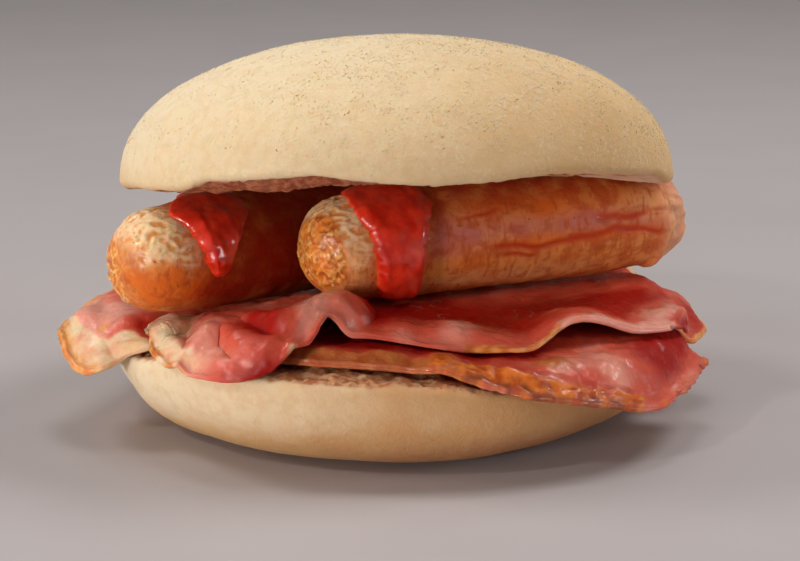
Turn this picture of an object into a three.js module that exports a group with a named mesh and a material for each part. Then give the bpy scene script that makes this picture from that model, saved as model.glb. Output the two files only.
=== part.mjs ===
// A breakfast roll: a soft floury bap, cut open and filled with three rashers of back bacon, two
// fried pork sausages and a spoonful of ketchup run over each sausage.
//
// Millimetres, +Z up, +X along the bacon, -Y towards the open front. The origin is the centre of
// the flat foot of the lower half of the bap.
import * as THREE from 'three';

// ---------------------------------------------------------------- driving dimensions

const GAP = 0.45;               // air between pieces that rest on each other
const FACET = 0.25;             // more air, because flat facets cut into round faces
const MEAT = 2.3;               // thickness of a rasher
const LAYER = MEAT + GAP + FACET;      // height that one rasher takes up between its neighbours

// The lower half of the bap: a flat foot, a bulging side, and a cut top pressed down in the middle.
const HEEL = {
  footRadius: 35,
  rimRadius: 58.5,
  rimShift: 2.5,                // how far the rim is pushed out towards `shiftTowards`
  shiftTowards: 20,             // degrees from +X
  bulge: 2.0,                   // roundness of the side, 2 is an ellipse
  rimRound: 2.2,                // radius of the cut edge
  pressed: 20.0,                // height of the crumb in the middle
  pressedTo: 0.25,              // where the crumb starts to rise, as a share of the rim's radius
  footShift: 1.0,               // how far the foot is pushed out the same way
  blend: 3.5,                   // how softly the crumb gives way under the filling
  // height of the rim round the heel: [degrees from +X, mm]
  rimHeight: [[-180, 21.2], [-140, 20.6], [-95, 21.2], [-78, 20.6], [-66, 18.6], [-30, 17.6],
    [-5, 17.6], [12, 20.6], [30, 24.9], [90, 25.2], [150, 23.0], [180, 21.2]],
};

// The upper half: a dome over a cut plane that leans back on the filling.
const CROWN = {
  centre: [3.5, 0, 46.6],
  radius: 56.8,
  height: 31.2,
  leanBack: 11.8,               // degrees about X
  leanLeft: 0.7,                // degrees about Y, the right side stands higher
  shoulder: 2.17,               // fullness of the dome, 2 is an ellipse
  rimRound: 1.6,
  hollow: 2.0,                  // how far the cut face is sunk in the middle
  hollowTo: 0.6,                // where it starts to fall to its edge, as a share of the radius
  // crumb that sags between the sausages: its middle, half its spread and its depth. It starts
  // inside the crust, between `crustTo` and `crustFrom` as shares of the radius.
  sag: { x: -17, y: -40, spreadX: 19, spreadY: 10, depth: 2.2, crustFrom: 0.97, crustTo: 0.84 },
  blend: 1.6,                   // how softly the crumb gives way over the filling
  // waves of the lower edge: [degrees from +X, mm above the cut plane]
  edge: [[-180, 0.3], [-161, 0.6], [-147, -0.3], [-136, 0.1], [-130, 1.3], [-119, 1.6],
    [-106, 2.3], [-97, 1.0], [-84, 0.1], [-76, 0.2], [-56, 2.1], [-44, 2.0], [-25, 1.6],
    [-14, 0.2], [0, 0.3], [180, 0.3]],
};

// The sausages. `nose` is the length of a rounded end and `blunt` its squareness, 2 is an ellipse.
// The near end is `narrowNose` as thick as the middle. `near` and `far` are the poles of the skin,
// `bow` bends the middle sideways, and the far end is `tail` as thick as the middle.
const SAUSAGE = { radius: 11.4, nose: 9, blunt: 2.4, narrowNose: 0.76, fullAfter: 24, tailLength: 26 };
const FRONT_SAUSAGE = { near: [-14.8, -25.2, 38.8], far: [63.8, 13.8, 38.2], bow: -1.6, tail: 0.84 };
const BACK_SAUSAGE = { near: [-50.0, -32.4, 37.6], far: [15.0, 34.5, 33.4], bow: -1.2, tail: 0.94 };

// Ketchup that runs over a sausage. `centre` and `half` give, for each angle round the sausage
// from its top, how far the run lies from the near pole and half its width.
// `skin` is its distance from the sausage, `thin` its thickness at the edge and `thick` in the
// middle. It lifts the crown by `liftsCrown` mm, `liftReach` mm round the top of the run.
const KETCHUP = { thick: 2.1, thin: 0.25, skin: 0.4, tip: 14, liftsCrown: 1.6, liftReach: 13 };
const FRONT_RUN = {
  centre: [[-25, 15.5], [10, 16.0], [45, 16.6], [85, 16.2], [125, 16.8], [146, 17.6]],
  half: [[-25, 5.0], [10, 7.2], [42, 8.2], [62, 6.4], [85, 5.4], [115, 4.8], [135, 4.0], [146, 2.0]],
  swell: [[-25, 0.35], [25, 0.4], [50, 0.85], [110, 1.0], [146, 1.0]],
};
const BACK_RUN = {
  centre: [[-25, 22.0], [-12, 22.0], [2, 19.9], [20, 18.4], [38, 18.7], [58, 17.4], [76, 16.6],
    [90, 15.9], [102, 16.2]],
  half: [[-25, 3.0], [-12, 4.4], [2, 7.0], [20, 9.1], [38, 8.4], [58, 6.1], [76, 3.8], [90, 2.6],
    [102, 1.2]],
  swell: [[-25, 0.35], [25, 0.4], [50, 0.85], [102, 1.0]],
};

// The rashers. Each is a sheet between two edges: `front` and `back` give the plan of the edge and
// `frontHeight` and `backHeight` its height, as [x, mm]. Crests of the front edge run back under
// the sausages for `reach` mm, and drift sideways by `drift` mm for each mm. `swell` is how much
// higher the sheet is a little behind its edge. A crisp rind adds `rind` mm to the thickness along
// the front edge.
const BACON_TOP = {
  front: [[-46, -27], [-44.5, -35], [-41, -42], [-36, -47.5], [-27, -52.8], [-20, -52.8],
    [-14, -48.5], [-8.4, -42], [-1.5, -42], [13, -45], [25, -46], [38, -37], [50, -28.5],
    [58.7, -22], [63.5, -13]],
  back: [[-46, -23], [-43, -18], [-20, -8], [20, 2], [45, 10], [53, 12], [57.5, 8], [61, 0],
    [63.5, -9]],
  frontHeight: [[-46, 23.4], [-38, 20.6], [-24, 21.6], [-16, 22.8], [-9.8, 31.0], [-1, 22.4],
    [13, 24.1], [24.5, 22.6], [38.5, 28.4], [54, 22.2], [63.5, 19.0]],
  backHeight: [[-46, 25.0], [45, 25.0], [54, 25.6], [63.5, 20.5]],
  reach: [[-46, 30], [-5, 34], [15, 20], [63, 26]],
  swell: [[-30, 0], [-18, 1.8], [-10, 1.8], [-6, 5.4], [-3.6, 7.0], [1, 0]],
  drift: [[-46, 0.3], [-20, 0.8], [-12, 0.2], [-8, 0], [0, 0], [20, 0.3], [40, 0.3], [63, 0]],
  rind: 0,
};
const BACON_BOTTOM = {
  front: [[-30, -36], [-26, -43], [-15, -47.5], [4, -52], [14, -54.5], [25, -55], [35, -53],
    [45, -48], [54, -41], [60, -31], [64.5, -21], [66.4, -15]],
  back: [[-30, -32], [-20, -20], [0, -8], [20, -3], [40, -6], [60, -9], [65, -11], [66.4, -13]],
  frontHeight: [[-30, 21.5], [4, 22.0], [12, 23.6], [19, 20.4], [30, 18.4], [43, 15.4], [55, 12.2],
    [66.4, 14.0]],
  backHeight: [[-30, 22], [42, 21.5], [60, 16], [66.4, 14.6]],
  reach: [[-30, 8], [20, 8], [30, 16], [50, 26], [66.4, 20]],
  swell: [[-30, 0], [66.4, 0]],
  drift: [[-30, 0], [66.4, 0]],
  rind: 0.9,
};
const BACON_BACK = {
  front: [[-64.9, -13.5], [-63.2, -21], [-59.5, -27.5], [-55, -31], [-51, -28.5], [-46, -30],
    [-20, -5], [20, 4], [50, -3], [61, -5.6], [65, -4], [69, 3]],
  back: [[-64.9, -10], [-62.4, -8], [-61.2, -3], [-59, 3], [-56, 9], [-40, 20], [-10, 37],
    [30, 37], [47, 26], [56, 17], [63, 14], [67, 10], [69, 6]],
  frontHeight: [[-64.9, 20.5], [-59, 15.6], [-54, 17.0], [-48, 19.4], [-42, 21], [50, 21.5],
    [61, 17.0], [65, 15.0], [69, 15.6]],
  backHeight: [[-64.9, 21.0], [-58, 22.4], [-40, 22], [50, 22], [63, 21.0], [69, 18.0]],
  reach: [[-64.9, 12], [-50, 18], [0, 20], [69, 20]],
  swell: [[-64.9, 0], [69, 0]],
  drift: [[-64.9, 0], [69, 0]],
  rind: 0,
};

// How a rasher bends down over the rim: from `inside` mm before it, on an arc, to `steepest`. It
// also clears the crumb `ahead` mm further out.
const DROOP = { inside: 3.4, arc: 7, steepest: 60 * Math.PI / 180, ahead: 1.2 };
const RIND = { width: 3.5, fade: 7 };  // the rind's full thickness, and where it has faded out
const STEEP = 1.3;              // steepest slope that makes more room for what lies on a rasher
const PAST_EDGE = { level: 2.5, fall: 0.8 };  // past a rasher's edge: level for mm, then falling
const SWELL_REACH = 7;          // how far behind its edge a rasher's swell has its full height
const THIN_EDGE = 0.6;          // thickness at a rasher's edges, as a share of its middle
const SOFT = 1.2;               // how softly a rasher bends on to what is under or over it
const COVER = { from: 1, to: 9 };      // where the back sausage comes down behind the top rasher

// How finely the solids are faceted.
const AROUND = 46;              // sectors of the bap
const SAUSAGE_SIDES = 20;
const COLUMNS = 46;             // steps along a rasher
const ROWS = [0, 0.02, 0.08, 0.16, 0.26, 0.38, 0.54, 0.74, 0.98, 1];

// ---------------------------------------------------------------- small functions

const { PI, acos, atan2, cos, exp, hypot, max, min, pow, sin, sqrt, tan } = Math;
const radians = (angle) => angle * PI / 180;
const degrees = (angle) => angle * 180 / PI;
const clamp = (x, low, high) => min(max(x, low), high);
const mix = (a, b, t) => a + (b - a) * t;
const ease = (low, high, x) => {
  const t = clamp((x - low) / (high - low), 0, 1);
  return t * t * (3 - 2 * t);
};
const range = (count, f) => Array.from({ length: count }, (_, i) => f(i));
const point = (x, y, z) => new THREE.Vector3(x, y, z);

// The lower and the higher of two heights, rounded where they meet over about `soft` mm.
const lower = (a, b, soft) => {
  const h = clamp(0.5 + 0.5 * (b - a) / soft, 0, 1);
  return mix(b, a, h) - soft * h * (1 - h);
};
const higher = (a, b, soft) => -lower(-a, -b, soft);

// A smooth curve through knots [at, value]: level at every crest and dip, with no overshoot.
function curve(knots) {
  const last = knots.length - 1;
  const rise = range(last, (i) => (knots[i + 1][1] - knots[i][1]) / (knots[i + 1][0] - knots[i][0]));
  const slope = knots.map((_, i) => {
    if (i === 0 || i === last) return rise[max(i - 1, 0)];
    return rise[i - 1] * rise[i] <= 0 ? 0 : 2 / (1 / rise[i - 1] + 1 / rise[i]);
  });
  return (at) => {
    const x = clamp(at, knots[0][0], knots[last][0]);
    const i = clamp(knots.findIndex((knot) => knot[0] > x) - 1, -1, last - 1);
    const k = i < 0 ? (x >= knots[last][0] ? last - 1 : 0) : i;
    const width = knots[k + 1][0] - knots[k][0];
    const t = (x - knots[k][0]) / width;
    const bend = t * (1 - t) * width * (slope[k] * (1 - t) - slope[k + 1] * t);
    return mix(knots[k][1], knots[k + 1][1], t * t * (3 - 2 * t)) + bend;
  };
}

// ---------------------------------------------------------------- closed solids from loops

// A solid skinned over loops of points. Each end is closed by a fan round a pole, or, where no
// pole is given, by a strip that joins the first half of the loop to the second half.
function skin(loops, startPole, endPole) {
  const size = loops[0].length;
  const points = loops.flat();
  const faces = [];
  const quad = (a, b, c, d) => faces.push([a, b, c], [a, c, d]);
  for (let k = 0; k + 1 < loops.length; k += 1) {
    for (let j = 0; j < size; j += 1) {
      const next = (j + 1) % size;
      quad(k * size + j, k * size + next, (k + 1) * size + next, (k + 1) * size + j);
    }
  }
  const close = (base, pole, turned) => {
    const add = (a, b, c) => faces.push(turned ? [a, b, c] : [a, c, b]);
    if (pole) {
      points.push(pole);
      for (let j = 0; j < size; j += 1) add(base + j, base + (j + 1) % size, points.length - 1);
      return;
    }
    for (let j = 0; j + 1 < size / 2; j += 1) {
      const across = size - 1 - j;
      add(base + j, base + j + 1, base + across - 1);
      add(base + j, base + across - 1, base + across);
    }
  };
  close(0, startPole, false);
  close((loops.length - 1) * size, endPole, true);

  const volume = faces.reduce((sum, [a, b, c]) => (
    sum + points[a].dot(point().crossVectors(points[b], points[c]))), 0);
  const outward = volume < 0 ? faces.map(([a, b, c]) => [a, c, b]) : faces;
  const geometry = new THREE.BufferGeometry().setFromPoints(points);
  geometry.setIndex(outward.flat());
  geometry.computeVertexNormals();
  return geometry;
}

// ---------------------------------------------------------------- sausages

// The middle line of a sausage and the frame across it: `up`, and `side` towards the front.
function sausageLine(sausage) {
  const near = point(...sausage.near);
  const far = point(...sausage.far);
  const length = near.distanceTo(far);
  const along = far.clone().sub(near).divideScalar(length);
  const side = point(along.y, -along.x, 0).normalize();
  const up = point().crossVectors(along, side);
  if (up.z < 0) up.negate();
  const at = (d) => {
    const t = d / length;
    return near.clone().addScaledVector(along, d).addScaledVector(side, sausage.bow * 4 * t * (1 - t));
  };
  const cap = (rest) => {
    const inside = 1 - clamp(rest / SAUSAGE.nose, 0, 1);
    return pow(1 - pow(inside, SAUSAGE.blunt), 1 / SAUSAGE.blunt);
  };
  const radius = (d) => {
    const nose = mix(SAUSAGE.narrowNose, 1, ease(-SAUSAGE.nose, SAUSAGE.fullAfter, d));
    const tail = mix(sausage.tail, 1, ease(0, SAUSAGE.tailLength, length - d));
    return SAUSAGE.radius * nose * tail * cap(d) * cap(length - d);
  };
  const surface = (d, angle, off = 0) => {
    const r = radius(d) + off;
    return at(d).addScaledVector(up, r * cos(angle)).addScaledVector(side, r * sin(angle));
  };
  return { near, far, length, along, at, radius, surface };
}

function sausageSolid(line) {
  const steps = 17;
  const firstLoop = 0.4;
  // the loops crowd together at both noses
  const crowd = (t) => mix(t, 0.5 - 0.5 * cos(PI * t), 0.75);
  const loops = range(steps, (i) => {
    const d = mix(firstLoop, line.length - firstLoop, crowd(i / (steps - 1)));
    return range(SAUSAGE_SIDES, (j) => line.surface(d, 2 * PI * j / SAUSAGE_SIDES));
  });
  return skin(loops, line.near, line.far);
}

// Height of the upper (+1) or lower (-1) side of a sausage over a point of the plan. Past the
// skin the surface goes on steeply, so that the higher or lower of two surfaces stays smooth.
function sausageSide(line, x, y, sign) {
  const r = SAUSAGE.radius + 0.1;
  const steep = 1.6;
  const noseMiddle = 0.8 * r;
  const plan = hypot(line.along.x, line.along.y);
  const forward = (x - line.near.x) * line.along.x + (y - line.near.y) * line.along.y;
  const middle = line.at(clamp(forward / (plan * plan), noseMiddle, line.length - noseMiddle));
  const away = hypot(x - middle.x, y - middle.y);
  const reach = away < r ? sqrt(r * r - away * away) : -steep * (away - r);
  return middle.z + sign * reach;
}

const frontLine = sausageLine(FRONT_SAUSAGE);
const backLine = sausageLine(BACK_SAUSAGE);
const sausageTop = (x, y) => max(sausageSide(frontLine, x, y, 1), sausageSide(backLine, x, y, 1));
const frontUnder = (x, y) => sausageSide(frontLine, x, y, -1);
const backUnder = (x, y) => sausageSide(backLine, x, y, -1);

// ---------------------------------------------------------------- ketchup

// The outer face of a run is rounded across it, and thins to a drop's round tip at its lower end.
function ketchupSolid(line, run) {
  const centre = curve(run.centre);
  const half = curve(run.half);
  const swell = curve(run.swell);
  const from = run.half[0][0];
  const to = run.half[run.half.length - 1][0];
  const steps = 18;
  const across = 8;
  const loops = range(steps + 1, (i) => {
    const turn = mix(from, to, i / steps);
    const tip = min(1, sqrt((to - turn) / KETCHUP.tip + 0.1));
    const acrossAt = (j) => 2 * j / across - 1;
    const place = (j, off) => (
      line.surface(centre(turn) + acrossAt(j) * half(turn), radians(turn), off));
    const depth = (j) => {
      const round = sqrt(1 - 0.96 * acrossAt(j) ** 2);
      return KETCHUP.skin + KETCHUP.thin + KETCHUP.thick * swell(turn) * tip * round;
    };
    const outer = range(across + 1, (j) => place(j, depth(j)));
    const inner = range(across + 1, (j) => place(across - j, KETCHUP.skin));
    return [...outer, ...inner];
  });
  return skin(loops);
}

// How far the ketchup lifts the crown off the sausages, near the top of each run.
function ketchupLift(x, y) {
  const lift = (line, run) => {
    const top = line.surface(curve(run.centre)(0), 0);
    const away = hypot(x - top.x, y - top.y) / KETCHUP.liftReach;
    return exp(-(away ** 4));
  };
  return KETCHUP.liftsCrown * max(lift(frontLine, FRONT_RUN), lift(backLine, BACK_RUN));
}

// ---------------------------------------------------------------- lower half of the bap

const rimHeight = curve(HEEL.rimHeight);
const heelRadius = (angle) => HEEL.rimRadius + HEEL.rimShift * cos(angle - radians(HEEL.shiftTowards));

// How far the top rasher lies under the back sausage at a point of the plan, from 0 to 1.
const topRasherBack = curve(BACON_TOP.back);
const topRasherAt = (x, y) => 1 - ease(COVER.from, COVER.to, y - topRasherBack(x));

// Height of the lower side of the top rasher, or of a sausage where that rasher doesn't reach.
const underTopRasher = (x, y) => (
  min(frontUnder(x, y) - LAYER, backUnder(x, y) - LAYER * topRasherAt(x, y)));

// Height of the cut face: from the rim down to the pressed middle, and lower still where the
// filling is squeezed between it and a sausage.
function crumbHeight(x, y) {
  const angle = atan2(y, x);
  const out = hypot(x, y) / heelRadius(angle);
  const face = mix(HEEL.pressed, rimHeight(degrees(angle)), ease(HEEL.pressedTo, 1, out));
  return lower(face, underTopRasher(x, y) - LAYER - GAP - 4 * FACET, HEEL.blend);
}

// What `sector` gives for every angle round the bap, from -180 to 180 degrees.
const allRound = (sector) => range(AROUND, (j) => sector(2 * PI * j / AROUND - PI));
const loopsOf = (sectors) => range(sectors[0].length, (i) => sectors.map((sector) => sector[i]));

function heelSolid() {
  const sideSteps = 8;
  const roundSteps = 3;
  const faceSteps = 8;
  const profile = (angle) => {
    const rim = heelRadius(angle);
    const foot = HEEL.footRadius + HEEL.footShift * cos(angle - radians(HEEL.shiftTowards));
    const c = HEEL.rimRound;
    const onFace = (r) => crumbHeight(r * cos(angle), r * sin(angle));
    const top = onFace(rim - c) - c;
    const side = range(sideSteps, (i) => {
      const a = (i / sideSteps) * PI / 2;
      return [mix(foot, rim, pow(sin(a), 2 / HEEL.bulge)), mix(top, 0, pow(cos(a), 2 / HEEL.bulge))];
    });
    const round = range(roundSteps, (i) => {
      const a = (i / roundSteps) * PI / 2;
      return [rim - c + c * cos(a), top + c * sin(a)];
    });
    const face = range(faceSteps, (i) => {
      const r = (rim - c) * (1 - i / faceSteps);
      return [r, onFace(r)];
    });
    return [...side, ...round, ...face];
  };
  const sectors = allRound((angle) => (
    profile(angle).map(([r, z]) => point(r * cos(angle), r * sin(angle), z))));
  return skin(loopsOf(sectors), point(0, 0, 0), point(0, 0, crumbHeight(0, 0)));
}

// ---------------------------------------------------------------- upper half of the bap

const crownEdge = curve(CROWN.edge);
const crownLean = new THREE.Euler(-radians(CROWN.leanBack), -radians(CROWN.leanLeft), 0);
const crownPlace = new THREE.Matrix4().makeRotationFromEuler(crownLean).setPosition(...CROWN.centre);
const crownPlaceBack = crownPlace.clone().invert();

// A point of the crown, `h` above its cut plane.
const onCrown = (r, angle, h) => point(r * cos(angle), r * sin(angle), h).applyMatrix4(crownPlace);

// The cut face: sunk in the middle, with crumb that sags at the front and the sausages' imprints.
function crownUnderside(r, angle) {
  const out = r / CROWN.radius;
  const flat = mix(CROWN.hollow, crownEdge(degrees(angle)), ease(CROWN.hollowTo, 1, out));
  const p = onCrown(r, angle, flat);
  const { x, y, spreadX, spreadY, depth } = CROWN.sag;
  const inside = 1 - ease(CROWN.sag.crustTo, CROWN.sag.crustFrom, out);
  p.z -= depth * inside * exp(-(((p.x - x) / spreadX) ** 2) - ((p.y - y) / spreadY) ** 2);
  const room = GAP + 2 * FACET + ketchupLift(p.x, p.y);
  p.z = higher(p.z, sausageTop(p.x, p.y) + room, CROWN.blend);
  return p;
}

function crownSolid() {
  const domeSteps = 13;
  const roundSteps = 3;
  const faceSteps = 8;
  const c = CROWN.rimRound;
  const R = CROWN.radius;
  const power = 2 / CROWN.shoulder;
  const base = c + min(...CROWN.edge.map(([, h]) => h));
  const edgeAt = (r, angle) => crownUnderside(r - c, angle).applyMatrix4(crownPlaceBack).z;
  // how far round the dome's profile the cut edge lies, from 0 at the top to a quarter turn
  const cutAt = (edge) => acos(pow(clamp((edge + c - base) / (CROWN.height - base), 0, 1), 1 / power));

  const profile = (angle) => {
    const rim = R * pow(sin(cutAt(edgeAt(R, angle))), power);
    const edge = edgeAt(rim, angle);
    const dome = range(domeSteps, (i) => {
      const a = ((i + 1) / domeSteps) * cutAt(edge);
      return onCrown(R * pow(sin(a), power), angle, mix(base, CROWN.height, pow(max(cos(a), 0), power)));
    });
    const inner = rim - c;
    const round = range(roundSteps - 1, (i) => {
      const a = ((i + 1) / roundSteps) * PI / 2;
      return onCrown(inner + c * cos(a), angle, edge + c - c * sin(a));
    });
    const face = range(faceSteps, (i) => crownUnderside(inner * (1 - i / faceSteps), angle));
    return [...dome, ...round, ...face];
  };
  return skin(loopsOf(allRound(profile)), onCrown(0, 0, CROWN.height), crownUnderside(0, 0));
}

// ---------------------------------------------------------------- rashers

// Height that a rasher's middle needs to clear the bread: it lies on the crumb, bends over the rim
// on an arc, and may hang down outside it.
function overBread(x, y) {
  const angle = atan2(y, x);
  const bendFrom = heelRadius(angle) - DROOP.inside;
  const past = hypot(x, y) - bendFrom;
  const lift = MEAT / 2 + GAP + 3 * FACET;
  if (past <= 0) return crumbHeight(x, y) + lift;
  const onArc = min(past, DROOP.arc * sin(DROOP.steepest));
  const drop = DROOP.arc - sqrt(DROOP.arc ** 2 - onArc ** 2) + (past - onArc) * tan(DROOP.steepest);
  const crumbAt = (r) => crumbHeight(r * cos(angle), r * sin(angle));
  return max(crumbAt(bendFrom), crumbAt(bendFrom + DROOP.ahead)) + lift - drop;
}

// Rise of a height over the plan, [towards +X, towards +Y], and the direction square to it.
const riseOf = (height, x, y) => {
  const d = 0.4;
  return [
    (height(x + d, y) - height(x - d, y)) / (2 * d),
    (height(x, y + d) - height(x, y - d)) / (2 * d),
  ];
};
const slopeOf = (height, x, y) => hypot(...riseOf(height, x, y));
const normalOf = (height, x, y) => {
  const [riseX, riseY] = riseOf(height, x, y);
  return point(-riseX, -riseY, 1).normalize();
};

// A rasher as a height over the plan, kept over what lies under it and under what lies on it.
function rasher(shape, under, roof) {
  const front = curve(shape.front);
  const back = curve(shape.back);
  const frontHeight = curve(shape.frontHeight);
  const backHeight = curve(shape.backHeight);
  const reach = curve(shape.reach);
  const swell = curve(shape.swell);
  const drift = curve(shape.drift);
  const left = shape.front[0][0];
  const right = shape.front[shape.front.length - 1][0];

  const height = (x, y) => {
    const behind = y - front(x);
    const wave = frontHeight(x + drift(x) * behind) + swell(x) * ease(0, SWELL_REACH, behind);
    const free = mix(wave, backHeight(x), ease(0, reach(x), behind));
    return lower(higher(free, under(x, y), SOFT), roof(x, y), SOFT);
  };
  // height that the middle of what lies on it needs, falling away past its edges
  const top = (x, y) => {
    const off = max(0, front(x) - y, y - back(x), left - x, x - right);
    const nearX = clamp(x, left, right);
    const slope = min(slopeOf(height, nearX, y), STEEP);
    const apart = (LAYER + FACET / 2 + shape.rind / 2) * hypot(1, slope);
    return height(nearX, y) + apart - PAST_EDGE.fall * max(0, off - PAST_EDGE.level);
  };

  // places along the rasher, at even steps of the wavy front edge
  const columns = () => {
    const fine = 600;
    const edge = range(fine + 1, (i) => {
      const x = mix(left, right, i / fine);
      return point(x, front(x), height(x, front(x)));
    });
    const length = [0];
    for (let i = 1; i <= fine; i += 1) length.push(length[i - 1] + edge[i].distanceTo(edge[i - 1]));
    return range(COLUMNS + 1, (k) => {
      const reached = length.findIndex((l) => l >= length[fine] * k / COLUMNS - 1e-9);
      return edge[reached].x;
    });
  };

  const build = () => {
    const loops = columns().map((x, k) => {
      const sides = ROWS.map((v) => {
        const y = mix(front(x), back(x), v);
        const atEdge = k === 0 || k === COLUMNS || v === 0 || v === 1;
        const full = MEAT + shape.rind * (1 - ease(RIND.width, RIND.fade, y - front(x)));
        const half = 0.5 * full * (atEdge ? THIN_EDGE : 1);
        return [point(x, y, height(x, y)), normalOf(height, x, y).multiplyScalar(half)];
      });
      const above = sides.map(([p, n]) => p.clone().add(n));
      const below = sides.map(([p, n]) => p.clone().sub(n));
      return [...above, ...below.reverse()];
    });
    return skin(loops);
  };
  return { top, build };
}

const ROOF = GAP + MEAT / 2 + FACET;
const sausageRoof = (x, y) => min(frontUnder(x, y), backUnder(x, y)) - ROOF;
const lowRoof = (x, y) => underTopRasher(x, y) - ROOF;

const baconBottom = rasher(BACON_BOTTOM, overBread, lowRoof);
const baconBack = rasher(BACON_BACK, overBread, lowRoof);
const overLowRashers = (x, y) => max(overBread(x, y), baconBottom.top(x, y), baconBack.top(x, y));
const baconTop = rasher(BACON_TOP, overLowRashers, sausageRoof);

// ---------------------------------------------------------------- the roll

const surface = (color, roughness) => new THREE.MeshStandardMaterial({ color, roughness, metalness: 0 });
const roll = new THREE.Group();
roll.name = 'breakfast_roll';

function add(name, geometry, material) {
  const mesh = new THREE.Mesh(geometry, material);
  mesh.name = name;
  roll.add(mesh);
}

add('heel', heelSolid(), surface(0xd9b88c, 0.9));
add('crown', crownSolid(), surface(0xdcbe94, 0.92));
add('sausage_front', sausageSolid(frontLine), surface(0xb0622f, 0.35));
add('sausage_back', sausageSolid(backLine), surface(0xb0622f, 0.35));
add('ketchup_front', ketchupSolid(frontLine, FRONT_RUN), surface(0xa5200f, 0.15));
add('ketchup_back', ketchupSolid(backLine, BACK_RUN), surface(0xa5200f, 0.15));
add('bacon_bottom', baconBottom.build(), surface(0xb0564a, 0.35));
add('bacon_back', baconBack.build(), surface(0xc07a63, 0.35));
add('bacon_top', baconTop.build(), surface(0xc0584c, 0.3));

export default roll;
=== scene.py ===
# A breakfast roll: a soft floury bap, cut open and filled with three rashers of back bacon, two
# fried pork sausages and a spoonful of ketchup run over each sausage.
#
# The shapes are worked out in mm with +Z up, +X along the bacon and -Y towards the open front,
# and the finished meshes are in metres. Each solid of the frame is replaced by a finer mesh of
# the same form, which adds the relief: crust and crumb, skin, fat, rind and loose flour.
import math
from types import SimpleNamespace

import bpy
import numpy as np
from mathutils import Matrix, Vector


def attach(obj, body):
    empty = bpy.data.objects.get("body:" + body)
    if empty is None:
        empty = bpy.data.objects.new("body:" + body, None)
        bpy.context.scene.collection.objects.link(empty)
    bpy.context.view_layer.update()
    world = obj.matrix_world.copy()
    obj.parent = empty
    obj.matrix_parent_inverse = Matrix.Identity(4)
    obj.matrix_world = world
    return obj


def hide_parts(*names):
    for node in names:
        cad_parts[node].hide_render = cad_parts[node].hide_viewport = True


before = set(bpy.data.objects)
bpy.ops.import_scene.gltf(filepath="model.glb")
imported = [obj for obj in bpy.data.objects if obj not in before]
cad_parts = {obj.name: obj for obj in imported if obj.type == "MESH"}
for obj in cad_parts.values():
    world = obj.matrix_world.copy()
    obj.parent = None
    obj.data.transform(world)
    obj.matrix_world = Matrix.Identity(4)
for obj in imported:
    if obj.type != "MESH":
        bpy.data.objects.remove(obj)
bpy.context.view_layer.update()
MM = 0.001

# ---------------------------------------------------------------- driving dimensions, in mm

GAP, FACET, MEAT = 0.45, 0.25, 2.3
LAYER = MEAT + GAP + FACET

HEEL = dict(
    foot_radius=35, rim_radius=58.5, rim_shift=2.5, shift_towards=20, foot_shift=1.0,
    bulge=2.0, rim_round=2.2, pressed=20.0, pressed_to=0.25, blend=3.5,
    rim_height=[(-180, 21.2), (-140, 20.6), (-95, 21.2), (-78, 20.6), (-66, 18.6), (-30, 17.6),
                (-5, 17.6), (12, 20.6), (30, 24.9), (90, 25.2), (150, 23.0), (180, 21.2)],
)
CROWN = dict(
    centre=(3.5, 0, 46.6), radius=56.8, height=31.2, lean_back=11.8, lean_left=0.7,
    shoulder=2.17, rim_round=1.6, hollow=2.0, hollow_to=0.6,
    sag_at=(-17, -40), sag_spread=(19, 10), sag_depth=2.2, sag_edge=(0.84, 0.97), blend=1.6,
    edge=[(-180, 0.3), (-161, 0.6), (-147, -0.3), (-136, 0.1), (-130, 1.3), (-119, 1.6),
          (-106, 2.3), (-97, 1.0), (-84, 0.1), (-76, 0.2), (-56, 2.1), (-44, 2.0), (-25, 1.6),
          (-14, 0.2), (0, 0.3), (180, 0.3)],
)
SAUSAGE = dict(radius=11.4, nose=9, blunt=2.4, narrow_nose=0.76, full_after=24, tail_length=26)
FRONT_SAUSAGE = dict(near=(-14.8, -25.2, 38.8), far=(63.8, 13.8, 38.2), bow=-1.6, tail=0.84)
BACK_SAUSAGE = dict(near=(-50.0, -32.4, 37.6), far=(15.0, 34.5, 33.4), bow=-1.2, tail=0.94)
KETCHUP = dict(thick=2.1, thin=0.25, skin=0.4, tip=14, lifts_crown=1.6, lift_reach=13)
FRONT_RUN = dict(
    centre=[(-25, 15.5), (10, 16.0), (45, 16.6), (85, 16.2), (125, 16.8), (146, 17.6)],
    half=[(-25, 5.0), (10, 7.2), (42, 8.2), (62, 6.4), (85, 5.4), (115, 4.8), (135, 4.0),
          (146, 2.0)],
    swell=[(-25, 0.35), (25, 0.4), (50, 0.85), (110, 1.0), (146, 1.0)],
)
BACK_RUN = dict(
    centre=[(-25, 22.0), (-12, 22.0), (2, 19.9), (20, 18.4), (38, 18.7), (58, 17.4), (76, 16.6),
            (90, 15.9), (102, 16.2)],
    half=[(-25, 3.0), (-12, 4.4), (2, 7.0), (20, 9.1), (38, 8.4), (58, 6.1), (76, 3.8), (90, 2.6),
          (102, 1.2)],
    swell=[(-25, 0.35), (25, 0.4), (50, 0.85), (102, 1.0)],
)
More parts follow.
